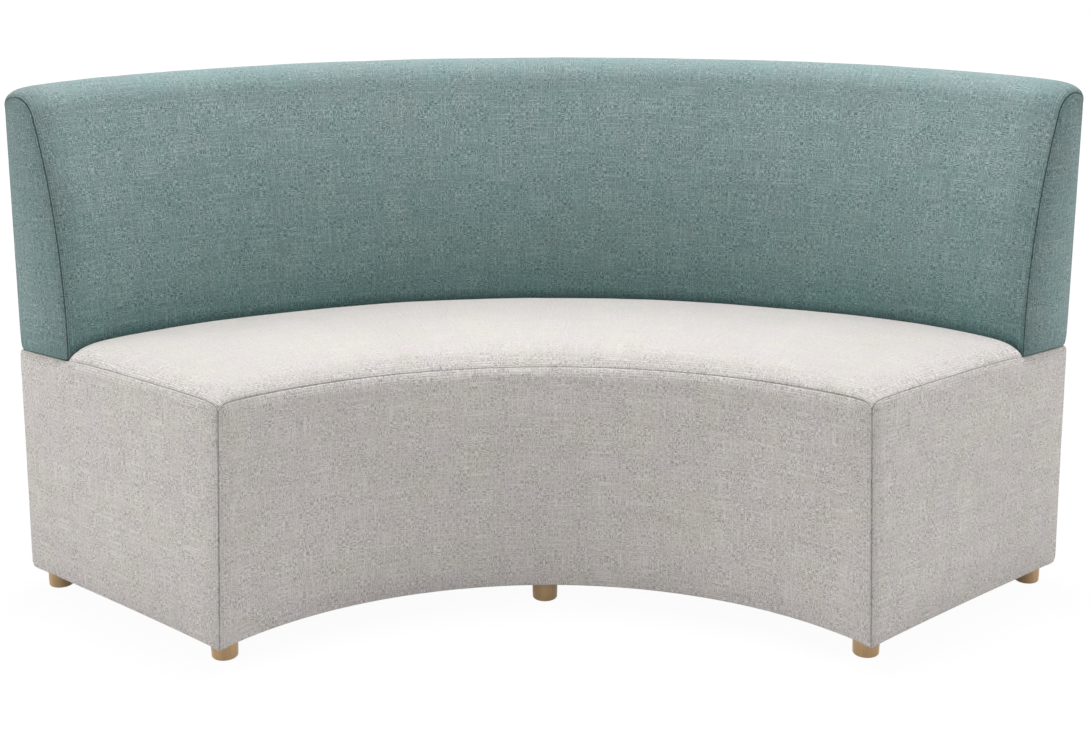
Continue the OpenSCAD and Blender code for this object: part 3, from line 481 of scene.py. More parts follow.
plain("zinc_steel", (0.62, 0.63, 0.64), 0.38, 1.0, 1400.0)
plain("glide_nylon", (0.055, 0.055, 0.058), 0.5, 0.0, 1800.0, 0.3, 0.15)
plain("cut_foam", (0.86, 0.79, 0.55), 0.95, 0.0, 1100.0, 0.12, 0.8)
plain("under_cloth", (0.030, 0.030, 0.032), 0.92, 0.0, 1500.0, 0.35, 0.6)

# Slots whose look has another name than the slot
SLOT_LOOKS = {
    "seat_fabric": "oat_linen",
    "back_fabric": "sage_linen",
    "foam": "cut_foam",
    "plywood": "birch_ply",
    "block_wood": "block_pine",
    "foot_wood": "foot_beech",
}
for sub in frame["record"]["subparts"]:
    node = frame["nodes"].get(sub["node"])
    if node is not None:
        slot = sub["material_slot"]
        node.data.materials.clear()
        node.data.materials.append(LOOKS[SLOT_LOOKS.get(slot, slot)])


# Building a padded panel: a dense outer face, its turned edges and a plain inner face

SIDES = {-1: "left", 1: "right"}
INSIDE = -9.0  # from an end plane to the rows that close an end pad
OAT = ("oat_linen", "seat_fabric")
SAGE = ("sage_linen", "back_fabric")
# The second value is a height above the seat past which the painted shade at the foot of the back no longer
# shows
NO_SEAM, NO_PAINTED_SHADE = 40.0, 500.0  # distances at which neither shows
CUT_STEP, CUTS = 0.137, 97  # each panel is cut from another part of the bolt
PADS = []


def added(name, data):
    """A new object in the scene."""
    obj = bpy.data.objects.new(name, data)
    scene.collection.objects.link(obj)
    return obj


def closing(rows):
    """The few rows of points that close a panel behind: radius, angle, height and offset of each."""
    return np.stack([polar(*row) for row in rows], 0)


def panel(name, outer, inner, cloth, seam, finish, replaced, worn=0.0, painted_shade_mask=NO_PAINTED_SHADE, painted_light=0.0):
    """outer is rows by columns of points; inner holds the few rows that close it behind."""
    look, slot = finish
    rows, cols = outer.shape[:2]
    ring = np.concatenate([outer, inner], 0)
    here = np.arange(len(ring)) * cols
    a = here[:, None] + np.arange(cols - 1)
    b = np.roll(here, -1)[:, None] + np.arange(cols - 1)
    quads = np.stack([a, a + 1, b + 1, b], -1).reshape(-1, 4).tolist()
    caps = [here.tolist(), (here[::-1] + cols - 1).tolist()]
    mesh = bpy.data.meshes.new(name)
    mesh.from_pydata(ring.reshape(-1, 3).tolist(), [], quads + caps)
    mesh.update()
    extra = np.repeat(cloth[-1:], len(inner), 0)
    coords = np.concatenate([cloth, extra], 0).reshape(-1, 2)
    flat = np.zeros((len(coords), 3))
    flat[:, :2] = coords / 1000.0 + CUT_STEP * (sum(map(ord, name)) % CUTS)
    layer = mesh.attributes.new("cloth", "FLOAT_VECTOR", "POINT")
    layer.data.foreach_set("vector", flat.astype(np.float32).ravel())
    # Seam distance, wear, and the masks of painted shade and painted light that the cloth's colour reads
    kinds = (
        ("seam", seam, NO_SEAM),
        ("worn", worn, 0.0),
        ("painted_shade_mask", painted_shade_mask, NO_PAINTED_SHADE),
        ("painted_light", painted_light, 0.0),
    )
    for word, values, behind in kinds:
        face = np.broadcast_to(values, (rows, cols))
        full = np.concatenate([face, np.full((len(inner), cols), behind)], 0)
        layer = mesh.attributes.new(word, "FLOAT", "POINT")
        layer.data.foreach_set("value", full.ravel().astype(np.float32))
    bm = bmesh.new()
    bm.from_mesh(mesh)
    bmesh.ops.recalc_face_normals(bm, faces=bm.faces)
    bm.to_mesh(mesh)
    bm.free()
    mesh.shade_smooth()
    mesh.set_sharp_from_angle(angle=math.radians(70))
    mesh.materials.append(LOOKS[look])
    obj = added(name, mesh)
    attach(obj, "root")
    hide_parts(*replaced)
    PADS.append((obj, outer, inner, np.broadcast_to(seam, (rows, cols))))


# The covers are cut a little full and pressed out by the foam: a cloth simulation on each pad's outer face

SIM_STEP = 0.013  # between two points of a cover, in metres
SIM_FRAMES = 16
SIM_REACH = 0.003  # the most that a point may move
SEWN_WITHIN = 5.0  # from a seam, in millimetres
FOAM_GRIP = 0.08  # how firmly the foam holds the cover away from its seams
COVER_CLOTH = {
    "vertex_group_mass": "held",
    "quality": 4,
    "mass": 0.25,
    "tension_stiffness": 12.0,
    "compression_stiffness": 12.0,
    "shear_stiffness": 5.0,
    "bending_stiffness": 3.0,
    "shrink_min": -0.001,
    "use_pressure": True,
    "uniform_pressure_force": 0.12,
}


def thin(points):
    """Picks the points along a line that are at least one simulation step apart, with both ends."""
    length = np.concatenate([[0], np.cumsum(np.linalg.norm(np.diff(points, axis=0), axis=1))])
    kept = [0]
    for i, far in enumerate(length):
        if far - length[kept[-1]] >= SIM_STEP:
            kept.append(i)
    if length[-1] - length[kept[-1]] < 0.5 * SIM_STEP and len(kept) > 2:
        kept.pop()
    return np.array(kept + [len(points) - 1])


def normals(grid, inside):
    """Unit normals of a grid of points, turned away from the point inside."""
    n = np.cross(np.gradient(grid, axis=0), np.gradient(grid, axis=1))
    n /= np.maximum(np.linalg.norm(n, axis=-1, keepdims=True), 1e-12)
    centre = grid.shape[0] // 2, grid.shape[1] // 2
    return n * np.sign(n[centre] @ (grid[centre] - inside))


def through(values, knots, count):
    """Carries values at the knots to every whole place from 0 to count, along a smooth curve."""
    slope = np.gradient(values, knots, axis=0)
    x = np.arange(count)
    i = np.clip(np.searchsorted(knots, x, side="right") - 1, 0, len(knots) - 2)
    span = (knots[i + 1] - knots[i]).astype(float)
    t = ((x - knots[i]) / span)[:, None]
    span = span[:, None]
    start = (2 * t**3 - 3 * t**2 + 1) * values[i] + (t**3 - 2 * t**2 + t) * span * slope[i]
    return start + (3 * t**2 - 2 * t**3) * values[i + 1] + (t**3 - t**2) * span * slope[i + 1]


def cover(outer, inner, seam):
    """A coarse sheet over one pad, sewn down along its seams and lightly held by the foam elsewhere."""
    rows = thin(outer[:, outer.shape[1] // 2])
    cols = thin(outer[outer.shape[0] // 2])
    coarse = outer[np.ix_(rows, cols)]
    away = normals(coarse, inner.reshape(-1, 3).mean(0))
    m, n = coarse.shape[:2]
    a = np.arange(m - 1)[:, None] * n + np.arange(n - 1)
    quads = np.stack([a, a + 1, a + n + 1, a + n], -1).reshape(-1, 4)
    mesh = bpy.data.meshes.new("cover")
    mesh.from_pydata(coarse.reshape(-1, 3).tolist(), [], quads.tolist())
    mesh.update()
    if Vector(mesh.polygons[len(quads) // 2].normal) @ Vector(away[m // 2, n // 2]) < 0:
        mesh.flip_normals()
    sheet = added("cover", mesh)
    near = seam[np.ix_(rows, cols)]
    held = np.where(near < SEWN_WITHIN, 1.0, 0.0)
    held[0] = held[-1] = held[:, 0] = held[:, -1] = 1.0
    group = sheet.vertex_groups.new(name="held")
    for flag, grip in ((1.0, 1.0), (0.0, FOAM_GRIP)):
        group.add(np.flatnonzero(held.ravel() == flag).tolist(), grip, "REPLACE")
    cloth = sheet.modifiers.new("cloth", "CLOTH")
    for word, value in COVER_CLOTH.items():
        setattr(cloth.settings, word, value)
    cloth.settings.effector_weights.gravity = 0.0
    cloth.collision_settings.use_collision = False
    cloth.point_cache.frame_start = 1
    cloth.point_cache.frame_end = SIM_FRAMES
    return sheet, rows, cols, coarse, away


def settle():
    """Runs the covers' simulation together and moves each pad's outer face as its cover moved."""
    covers = [cover(*shape) for _, *shape in PADS]
    for frame_number in range(1, SIM_FRAMES + 1):
        scene.frame_set(frame_number)
    graph = bpy.context.evaluated_depsgraph_get()
    for (obj, outer, inner, _), (sheet, rows, cols, coarse, away) in zip(PADS, covers):
        ended = sheet.evaluated_get(graph).data
        places = np.empty(len(ended.vertices) * 3)
        ended.vertices.foreach_get("co", places)
        moved = ((places.reshape(coarse.shape) - coarse) * away).sum(-1)
        moved = SIM_REACH * np.tanh(0.5 * moved / SIM_REACH)
        moved = through(moved, rows, outer.shape[0])
        moved = through(moved.T, cols, outer.shape[1]).T
        shifted = outer + normals(outer, inner.reshape(-1, 3).mean(0)) * moved[..., None]
        mesh = obj.data
        full = np.empty(len(mesh.vertices) * 3)
        mesh.vertices.foreach_get("co", full)
        full[: shifted.size] = shifted.ravel()
        mesh.vertices.foreach_set("co", full)
        mesh.update()
    scene.frame_set(1)
    for sheet, *_ in covers:
        mesh = sheet.data
        bpy.data.objects.remove(sheet)
        bpy.data.meshes.remove(mesh)


def columns(radius):
    """Places across the bench with crowded ends: each one's share, from -1 to 1, and end distance."""
    length = 2 * HALF * radius
    s = spread(length)
    return s / length * 2 - 1, np.minimum(s, length - s)


# Seat and the faces of the seat box

SEAT_ROLL = 56.0  # how deep the rolled front edge is
SEAT_GAP = 1.2  # between the seat's rear edge and the back
REAR_ROUND = 4.0  # how the seat turns down behind


def dip(x, d):
    """How far the seams run down towards the front corners."""
    far = np.hypot(x, d)
    return 12.0 * np.exp(-far / 8.0) + 2.0 * np.exp(-far / 3.5)


def front_seam(a):
    """Height of the seam along the front edge of the seat, which sinks midway."""
    share = a / HALF
    return 454.5 - 9.0 * (1 - share**2)


def fuller(d, a):
    """The rear of the seat is a little fuller on either side of the middle, more so on the right."""
    return np.where(a > 0, 5.0, 1.3) * np.exp(-(((d - 220.0) / 170.0) ** 2))


def end_seam(to_back):
    """How clearly the seam between seat and end shows; it fades where the back presses the seat down."""
    return 1.0 - 0.75 * np.exp(-to_back / 45.0)


def midway(a):
    """One in the middle of the bench, nothing at its ends."""
    return np.sqrt(np.maximum(1 - (a / HALF) ** 2, 0))


def seat_base(x, d, a):
    """Height of the seams, carried over the seat: x is behind the front seam."""
    behind = BACK_R - SEAM_R - x
    z = SEAM - (SEAM - front_seam(a)) * np.exp(-x / 60.0) - dip(x, d)
    return z - 5.6 * decay(behind, 48.0) * np.exp(-d / 24.0)


def seat():
    share, _ = columns(SEAT_MID_R)
    depth = BACK_R - SEAM_R - SEAT_GAP
    roll = SEAT_ROLL * np.linspace(0, 1, 25) ** 1.8
    flat = np.arange(SEAT_ROLL + 5, depth - 9, 6.0)
    turn = np.radians(np.linspace(10, 90, 8))
    x = np.concatenate([roll, flat, depth - REAR_ROUND * (1 - np.sin(turn)), [depth]])
    drop = np.concatenate([np.zeros(len(roll) + len(flat)), REAR_ROUND * (1 - np.cos(turn)), [30.0]])
    high = 1 - (1 - np.clip(x / SEAT_ROLL, 0, 1)) ** 2.6
    along = np.concatenate([[0], np.cumsum(np.hypot(np.diff(x), np.diff(high * 14 - drop)))])
    grid = np.ones((len(x), len(share)))
    x, high, drop, along = (line[:, None] * grid for line in (x, high, drop, along))
    r = SEAM_R + x
    a = share * grid * HALF
    d = end_distance(r, a)
    edge = 1 - np.clip(x / 32.0, 0, 1)
    soft = midway(a)
    high = soft * high + (1 - soft) * np.sqrt(1 - edge**2)
    # Towards the ends the seat rolls over broadly in front, and more sharply beside the back
    broad = 1 - (1 - np.clip(d / 44.0, 0, 1)) ** 2.2
    sharp = rise(d, 17.0) ** 0.9
    behind = (x / depth) ** 2
    high_rear = 18.5 - 8.5 * rise(d, 300) + 0.3 * (1 - share) + fuller(d, a)
    lift = ((15.0 + 5.0 * soft) * (1 - behind) * broad + high_rear * behind * sharp) * high
    dome = 3.0 * np.sin(math.pi * np.clip(x / depth, 0, 1)) * rise(d, 90.0)
    z = seat_base(x, d, a) + lift + dome - drop
    u = a * SEAT_MID_R
    wave = undulate(u, along, 1, 0.5) * rise(d, 30) * high
    wave += pucker(u, along, 2, 0.55) + pucker(along, d, 4, 0.55)
    z = z + wave * high
    # The roll stands a little proud of its seams, which are drawn in
    tip = np.hypot(x, d)
    away = rise(tip, 10)
    deep = GROOVE + np.exp(-tip / 14.0)
    forward = 1.5 * (1 - soft) * np.sin(np.pi * np.clip(along / 22.0, 0, 1)) * rise(d, 6) * away
    forward += 0.35 * pucker(u, along, 2, 0.6) - groove(along, deep)
    to_back = np.maximum(depth - x, 0)
    shown = end_seam(to_back)
    sideways = 1.5 * (d / 5.0) * np.exp(1 - d / 5.0) * rise(x, 6) * away - groove(d, deep * shown)
    pressed = np.maximum(proud(d, a) - 1.0, 0) * np.exp(-(depth - x) / 30.0)
    outer = polar(r - forward - pressed, a, z, sideways)
    inner = closing([(BACK_R - 3.0, a[0] * 0.99, DECK), (SEAM_R + 18.0, a[0] * 0.985, DECK)])
    cloth = np.stack([u, along], -1)
    seam = np.minimum(along, d + 1.0 - shown)
    worn = rise(along - 6, 25) * rise(d - 6, 25)
    # Painted light: a painted highlight along the rear edge beside the back, painted shade where the seams
    # dip at the front corners, and a little darker elsewhere
    painted_light = 0.06 * np.exp(-to_back / 50.0) + 0.06 * np.exp(-to_back / 5.0) - 0.03
    painted_light = painted_light - 0.12 * np.exp(-tip / 9.0)
    replaced = ("seat_cover", "seat_foam")
    panel("seat_pad", outer, inner, cloth, seam, OAT, replaced, worn=worn, painted_light=painted_light)


def corner(d, deep=CORNER):
    """Draws a panel in beside an upright corner seam, with the ridge of the seam allowance."""
    ridge = 0.65 * np.exp(-(((d - 3.0) / 1.2) ** 2)) - 0.35 * np.exp(-(((d - 5.6) / 1.2) ** 2))
    return groove(d, deep) - 0.35 * deep * ridge


def rounded(radius, count):
    """A quarter round at the foot of a face: depth behind it, and height."""
    turn = np.radians(np.linspace(0, 90, count))
    return radius * np.stack([1 - np.sin(turn), 1 - np.cos(turn)], -1)


def hem_rows(fold, radius, high, step=7.0):
    """The turned-in strip, the rounded hem and the upright face: depth behind the face, and height."""
    strip = np.array([[fold, 0.0], [fold * 0.5, 0.0]])
    top = high - radius - EDGE[::-1]
    z = radius + np.concatenate([np.arange(step, top[0] - step / 2, step), top])
    face = np.stack([np.zeros_like(z), z], -1)
    return np.concatenate([strip, rounded(radius, 7), face], 0)


def fitted(up, top, full):
    """Heights of a face whose top edge lies at top instead of full; the change is mostly near the edge."""
    return up * (1 + (top / full - 1) * (up / full) ** 6)


def shoulder(down, high, radius, reach):
    """A face that stands out below its top seam and rounds back to it; it fades out further down."""
    over = np.clip(high - down, 0, high)
    full = radius - math.sqrt(radius**2 - high**2)
    return full * decay(down - high, reach) - (radius - np.sqrt(radius**2 - over**2))


def front():
    share, d = columns(FRONT_MID_R)
    full = SEAM - FOLD
    rows = hem_rows(24.0, 5.0, full)
    back, up = rows[:, :1], rows[:, 1:]
    a = share * HALF
    # The seam sinks midway and dips at the corners, so each column is fitted to its own top
    top = front_seam(a) - dip(0, d) - FOLD
    up = fitted(up, top, full)
    z = FOLD + up
    down = (FOLD + top) - z
    hang = droop(d, 90.0) * np.exp(-up / 90.0)
    u = a * FRONT_MID_R + 0 * up
    soft = midway(a) * rise(d, 40)
    bulge = 3.0 * rise(d, 10) * rise(down, 9 + 14 * soft) * rise(up, 16)
    bulge = bulge + 1.2 * np.sin(math.pi * up / full)
    bulge = bulge + shoulder(down, 21.0, 31.0, 150.0) * soft * rise(up, 16)
    bulge = bulge * (back < 5)
    wave = undulate(u, z, 11, 0.55) * rise(d, 8) * rise(down, 8)
    wave = wave + pucker(u, down, 12, 0.5) + pucker(z, d, 13, 0.5, 15, 20)
    deep = GROOVE + np.exp(-d / 14.0)
    radius = front_at(z) + back - bulge - wave * rise(up, 6) + groove(down, deep) + corner(d)
    outer = polar(radius, a, z - hang, -gathered(d))
    high = FOLD + top - 4
    inner = closing([(front_at(high) + 13.0, a * 0.99, high), (front_at(FOLD) + 13.0, a * 0.99, FOLD + 3.0)])
    seam = np.minimum(down, d)
    cloth = np.stack([u, up - back], -1)
    replaced = ("front_cover", "front_padding")
    # Painted light: the front is lighter midway along the bench and darker towards its ends
    panel("front_pad", outer, inner, cloth, seam, OAT, replaced, painted_light=0.06 * midway(a) - 0.03)


HEM_ROUND, TOP_FOLD = 14.0, 8.0  # rounds of the rear cover of the seat box at its foot and top
REAR_TURN = 24.5  # how far it is turned in there
REAR_THICK = 11.5  # how thick the rear pads are


def spring(up):
    """The cover stands off the rear of the seat box a little, most of all near the floor."""
    return 5.5 * (1 - np.clip(up / (JOINT - FOLD), 0, 1))


def rear_edge(z, top):
    """Radius of the rear edge of the seat box's end, with its rounded hem and top."""
    hem = np.clip(HEM_ROUND - (z - FOLD), 0, HEM_ROUND)
    up = np.clip(TOP_FOLD - (top - z), 0, TOP_FOLD)
    full = REAR_R + spring(z - FOLD)
    full = full - (HEM_ROUND - np.sqrt(HEM_ROUND**2 - hem**2))
    return full - (TOP_FOLD - np.sqrt(TOP_FOLD**2 - up**2))


def end(side):
    places = spread(REAR_R - SEAM_R)
    share = places / places[-1]
    full = SEAM - FOLD
    rows = hem_rows(18.0, 4.0, full)
    back, up = rows[:, :1], rows[:, 1:]
    under = BACK_R - SEAM_R
    x_top = share * (REAR_R - SEAM_R)
    to_back = np.maximum(under - x_top, 0)
    seat_seam = SEAM - 3.5 * np.exp(-x_top / 60.0) - dip(x_top, 0)
    seat_seam -= 5.6 * np.exp(-to_back / 48.0)
    top = np.where(x_top < under, seat_seam, JOINT + joint_drop(SEAM_R + x_top, JOINT)) - FOLD
    up = fitted(up, top, full)
    z = FOLD + up
    near = front_at(z)
    far = rear_edge(z, JOINT - 4.5)
    r = near + share * (far - near)
    d_front, d_rear = r - near, far - r
    down = FOLD + top - z
    bulge = 2.4 * rise(down, 18) + shoulder(down, 18.0, 34.9, 80.0)
    bulge = bulge * rise(d_front, 16) * rise(d_rear, 18) * rise(up, 18)
    bulge = bulge * (back < 4)
    hang = droop(d_front, 170.0) * np.exp(-up / 90.0)
    wave = undulate(r, z, 21 + side, 0.55) * rise(d_front, 8) * rise(d_rear, 8) * rise(down, 8)
    wave += pucker(r, down, 24 + side, 0.5) + pucker(z, d_front, 27 + side, 0.5, 15, 20)
    shown = np.where(x_top < under, end_seam(to_back), 1.0)
    deep = (GROOVE + np.exp(-d_front / 14.0)) * shown
    pull = np.maximum(groove(down, deep), np.maximum(corner(d_front), corner(d_rear)))
    out = bulge + wave * rise(up, 6) - pull - back
    # The end edges run into the drawn-in corner seams
    r = r + (gathered(d_front) - gathered(d_rear))
    a = side * HALF
    outer = polar(r, a, z - hang, out)
    inner = closing(
        [
            (np.clip(r[-1], SEAM_R + 4, REAR_R - 14), a, FOLD + top - 5, INSIDE),
            (np.clip(r[-1], FRONT_R + 6, REAR_R - 24), a, FOLD + 4.0, INSIDE),
        ]
    )
    seam = np.minimum(np.minimum(down + 1.0 - shown, d_front), d_rear)
    cloth = np.stack([r, up - back], -1)
    word = SIDES[side]
    replaced = ("end_cover_" + word, "end_padding_" + word)
    # Painted light: a painted highlight along the rolled top edge and painted shade beside the front corner
    # seam
    painted_light = 0.04 * np.exp(-down / 16.0) - 0.11 * np.exp(-((d_front / 19.0) ** 2))
    panel("end_pad_" + word, outer, inner, cloth, seam, OAT, replaced, painted_light=painted_light)


def lengths(rows):
    """How far along a section each of its points lies."""
    return np.concatenate([[0], np.cumsum(np.hypot(*np.diff(rows, axis=0).T))])[:, None]


def rear():
    share, d = columns(REAR_R)
    turn = np.radians(np.linspace(0, 90, 9))
    full = JOINT + joint_drop(REAR_R, JOINT) - FOLD
    face = np.stack([np.zeros(55), np.linspace(24, full - 12, 55)], -1)
    top = np.stack([TOP_FOLD - TOP_FOLD * np.cos(turn), full - TOP_FOLD + TOP_FOLD * np.sin(turn)], -1)
    rows = np.concatenate([[[REAR_TURN, 0.0]], rounded(HEM_ROUND, 9), face, top, [[REAR_TURN, full]]], 0)
    back, up = rows[:, :1], rows[:, 1:]
    a = share * HALF
    bulge = 2.5 * rise(d, 12) * np.sin(math.pi * np.clip(up / full, 0, 1)) ** 0.5 * (back < 20)
    u = a * REAR_R + 0 * up
    wave = (undulate(u, up, 31, 0.6) * rise(d, 8) + pucker(up, d, 32, 0.5, 15, 20)) * (back < 8)
    radius = REAR_R - back + spring(up) + bulge + wave - corner(d)
    outer = polar(radius, a, FOLD + up, -gathered(d))
    inner = closing(
        [
            (REAR_R - REAR_TURN, a, FOLD + full - 1.5),
            (REAR_R - REAR_THICK, a * 0.995, FOLD + full - 3.0),
            (REAR_R - REAR_THICK, a * 0.995, FOLD + 6.0),
            (REAR_R - REAR_TURN, a, FOLD + 1.5),
        ]
    )
    cloth = np.stack([u, lengths(rows) + 0 * u], -1)
    panel("rear_pad", outer, inner, cloth, d, OAT, ("rear_cover", "rear_padding"))


# Back

TOP_CORNER = 10.0  # round of its rear top edge


def seat_top(d, a):
    """Height of the seat where the back comes down to it."""
    return 452.0 + (24.0 - 7.0 * rise(d, 300)) * rise(d, 17) + fuller(d, a)


def back_section():
    """Rows up the front, over the top and down to the rear seam: radius, height and normal."""
    out = [(BACK_R + 24.0, JOINT + 0.3, 0.0, -1.0)]
    for t in np.radians(np.linspace(0, 90, 6)):
        s, c = math.sin(t), math.cos(t)
        out.append((BACK_R + 3 - 3 * s, JOINT + 3.3 - 3 * c, -s, -c))
    for z in np.linspace(JOINT + 9, ROUND_Z - 6, 58):
        slope = math.atan(2 * BACK_LEAN * max(z - LEAN_Z, 0) / (ROUND_Z - LEAN_Z) ** 2)
        out.append((float(face_at(z)), z, -math.cos(slope), math.sin(slope)))
    for t in np.linspace(ROUND_SLOPE, math.pi / 2, 18):
        s, c = math.sin(t), math.cos(t)
        out.append((ROUND_MID[0] - TOP_ROUND * c, ROUND_MID[1] + TOP_ROUND * s, -c, s))
    corner_r = REAR_R + REAR_LEAN - TOP_CORNER
    for r in np.linspace(ROUND_MID[0], corner_r, 8)[1:]:
        out.append((r, TOP, 0.0, 1.0))
    for t in np.radians(np.linspace(0, 90, 8))[1:]:
        s, c = math.sin(t), math.cos(t)
        out.append((corner_r + TOP_CORNER * s, TOP - TOP_CORNER * (1 - c), s, c))
    for z in REAR_SEAM + np.array([5.0, 3.2, 2.0, 1.2, 0.6, 0.0]):
        out.append((float(rear_at(z)), z, 1.0, 0.0))
    return np.array(out)


def back():
    share, _ = columns(BACK_MID_R)
    rows = back_section()
    r0, z0, nr, nz = (rows[:, k : k + 1] for k in range(4))
    a = share * HALF + 0 * r0
    d = end_distance(r0, a)
    along = lengths(rows[:, :2])
    rise_share = np.clip((z0 - JOINT) / (TOP - JOINT), 0, 1)
    face = np.clip(-nr, 0, 1) * np.clip(rise_share * 90, 0, 1)
    swell = face * (proud(d, a) + 1.6 * rise(d, 90) * np.sin(math.pi * rise_share**0.8))
    swell -= np.clip(nr, 0, 1) * rear_draw(d)
    lift = crown(r0, z0, d, a) + joint_drop(r0, z0)
    to_rear = along[-1] - along
    u = a * BACK_MID_R
    wave = undulate(u, along, 41, 0.6) * rise(d, 25)
    wave += pucker(along, d, 42, 0.6, 13, 17)
    wave = wave * np.clip(rise_share * 20, 0, 1) * (nz > -0.5)
    pull = groove(d, BACK_GROOVE) + np.where(z0 > REAR_SEAM - 1, groove(to_rear, BACK_GROOVE), 0)
    off = swell + wave - pull
    inset = gathered(d, BACK_GROOVE) - 1.2 * (d / 4.0) * np.exp(1 - d / 4.0)
    outer = polar(r0 + nr * off, a, z0 + nz * off + lift, -inset - lean_in(z0, d, a))
    places = ((REAR_R - 14.0, TOP - 30), (REAR_R - 16, TOP - 33), (1157.0, TOP - 33), (1119.0, JOINT + 8))
    inner = closing([(r, share * HALF * 0.99, z) for r, z in places])
    seam = np.minimum(d, to_rear)
    cloth = np.stack([u, along + 0 * u], -1)
    # Height above the seat, which sets the painted shade at the foot of the back
    above = z0 - seat_top(d, a)
    beside = np.clip(rise_share / 0.5, 0, 1)
    # Painted light: lighter towards both ends, most low down, and painted shade in the valleys beside the end
    # seams
    painted_light = (0.10 + 0.03 * a / HALF) * (1 - np.exp(-((1.6 * a / HALF) ** 2)))
    painted_light = painted_light + 0.07 * (a / HALF) ** 2 * (1 - rise_share) - 0.25 * beside * np.exp(-((d / 50.0) ** 2))
    worn = 0.6 * np.clip((z0 - 835.0) / 60.0, 0, 1)
    replaced = ("back_cover", "back_foam")
    panel("back_pad", outer, inner, cloth, seam, SAGE, replaced, worn=worn, painted_shade_mask=above, painted_light=painted_light)


def back_end(side):
    """The end of the back: its edge is the section of the back as the seam draws it in."""
    z = JOINT + spread(TOP - JOINT, 6.0)[:, None]
    places = spread(REAR_R - BACK_R, 6.0, EDGE[:-2])
    share = places / places[-1]
    a = side * HALF
    turn = np.arcsin(np.clip((z - ROUND_MID[1]) / TOP_ROUND, 0, 1))
    slope = np.arctan(2 * BACK_LEAN * np.maximum(z - LEAN_Z, 0) / (ROUND_Z - LEAN_Z) ** 2)
    below = z < ROUND_Z
    tilt = np.where(below, slope, turn)
    foot = 3.3 - np.clip(z - JOINT, 0.3, 3.3)
    near = np.where(below, face_at(z) + 3.0 - np.sqrt(9.0 - foot**2), ROUND_MID[0] - TOP_ROUND * np.cos(turn))
    bend = np.clip(1 - (TOP - z) / TOP_CORNER, 0, 1)
    upright = np.sqrt(1 - bend**2)
    far = rear_at(z) - TOP_CORNER * (1 - upright)
    far = far - tuck(z - JOINT)
    # Both edges move with the pads that they are sewn to
    rise_share = np.clip((z - JOINT) / (TOP - JOINT) * 90, 0, 1)
    near_off = np.cos(tilt) * rise_share * proud(0.0, side) - BACK_GROOVE
    far_off = -upright * rear_draw(0.0) - BACK_GROOVE
    r0 = near + share * (far - near)
    r = r0 - (1 - share) * np.cos(tilt) * near_off + share * upright * far_off
    zz = z + (1 - share) * np.sin(tilt) * near_off + share * bend * far_off
    d_face = (r0 - near) * np.cos(tilt)
    in_round = (r0 < ROUND_MID[0]) & (z > ROUND_MID[1])
    d_round = TOP_ROUND - np.hypot(r0 - ROUND_MID[0], z - ROUND_MID[1])
    d_front = np.where(in_round, d_round, d_face)
    d_top = np.where(r0 < ROUND_MID[0], 1e3, TOP - z)
    d_seam = np.maximum(np.minimum(d_front, d_top), 0)
    d_rear = far - r0
    up = z - JOINT + 0 * r
    bulge = 8.5 * rise(d_seam, 24) * rise(d_rear, 24) * rise(up, 12)
    wave = undulate(r, zz, 51 + side, 0.5) * rise(d_seam, 8) * rise(d_rear, 8)
    wave += pucker(zz, d_seam, 54 + side, 0.5, 13, 16)
    drawn = 2.2 * np.exp(-((up / 2.6) ** 2))
    pull = np.maximum(groove(d_rear, BACK_GROOVE), corner(d_seam, BACK_GROOVE))
    out = bulge + wave * rise(up, 8) - pull - drawn - lean_in(z, 0.0, a)
    outer = polar(r, a, zz + crown(r0, z, 0.0, a) + joint_drop(r0, z), out)
    high = np.clip(r[-1], ROUND_MID[0], REAR_R)
    low = np.clip(r[0], BACK_R + 5, REAR_R - 8)
    inner = closing([(high, a, TOP - 22, INSIDE), (low, a, JOINT + 6, INSIDE)])
    # Painted shade and light: each end is darker towards its seam with the back's face and lighter towards
    # its rear, the right end more strongly; the painted light and shade by height climb faster up the ends
    # and stop part way
    near_seam = 1 - np.clip(d_seam / 110.0, 0, 1)
    painted_light = 0.035 - 0.193 * near_seam if side < 0 else 0.138 - 0.341 * near_seam
    above = np.minimum(12 + 3.5 * up, 250)
    cloth = np.stack([r, zz], -1)
    seam = np.minimum(d_seam, d_rear)
    word = SIDES[side]
    replaced = ("back_end_cover_" + word, "back_end_padding_" + word)
    panel("back_end_pad_" + word, outer, inner, cloth, seam, SAGE, replaced, painted_shade_mask=above, painted_light=painted_light)


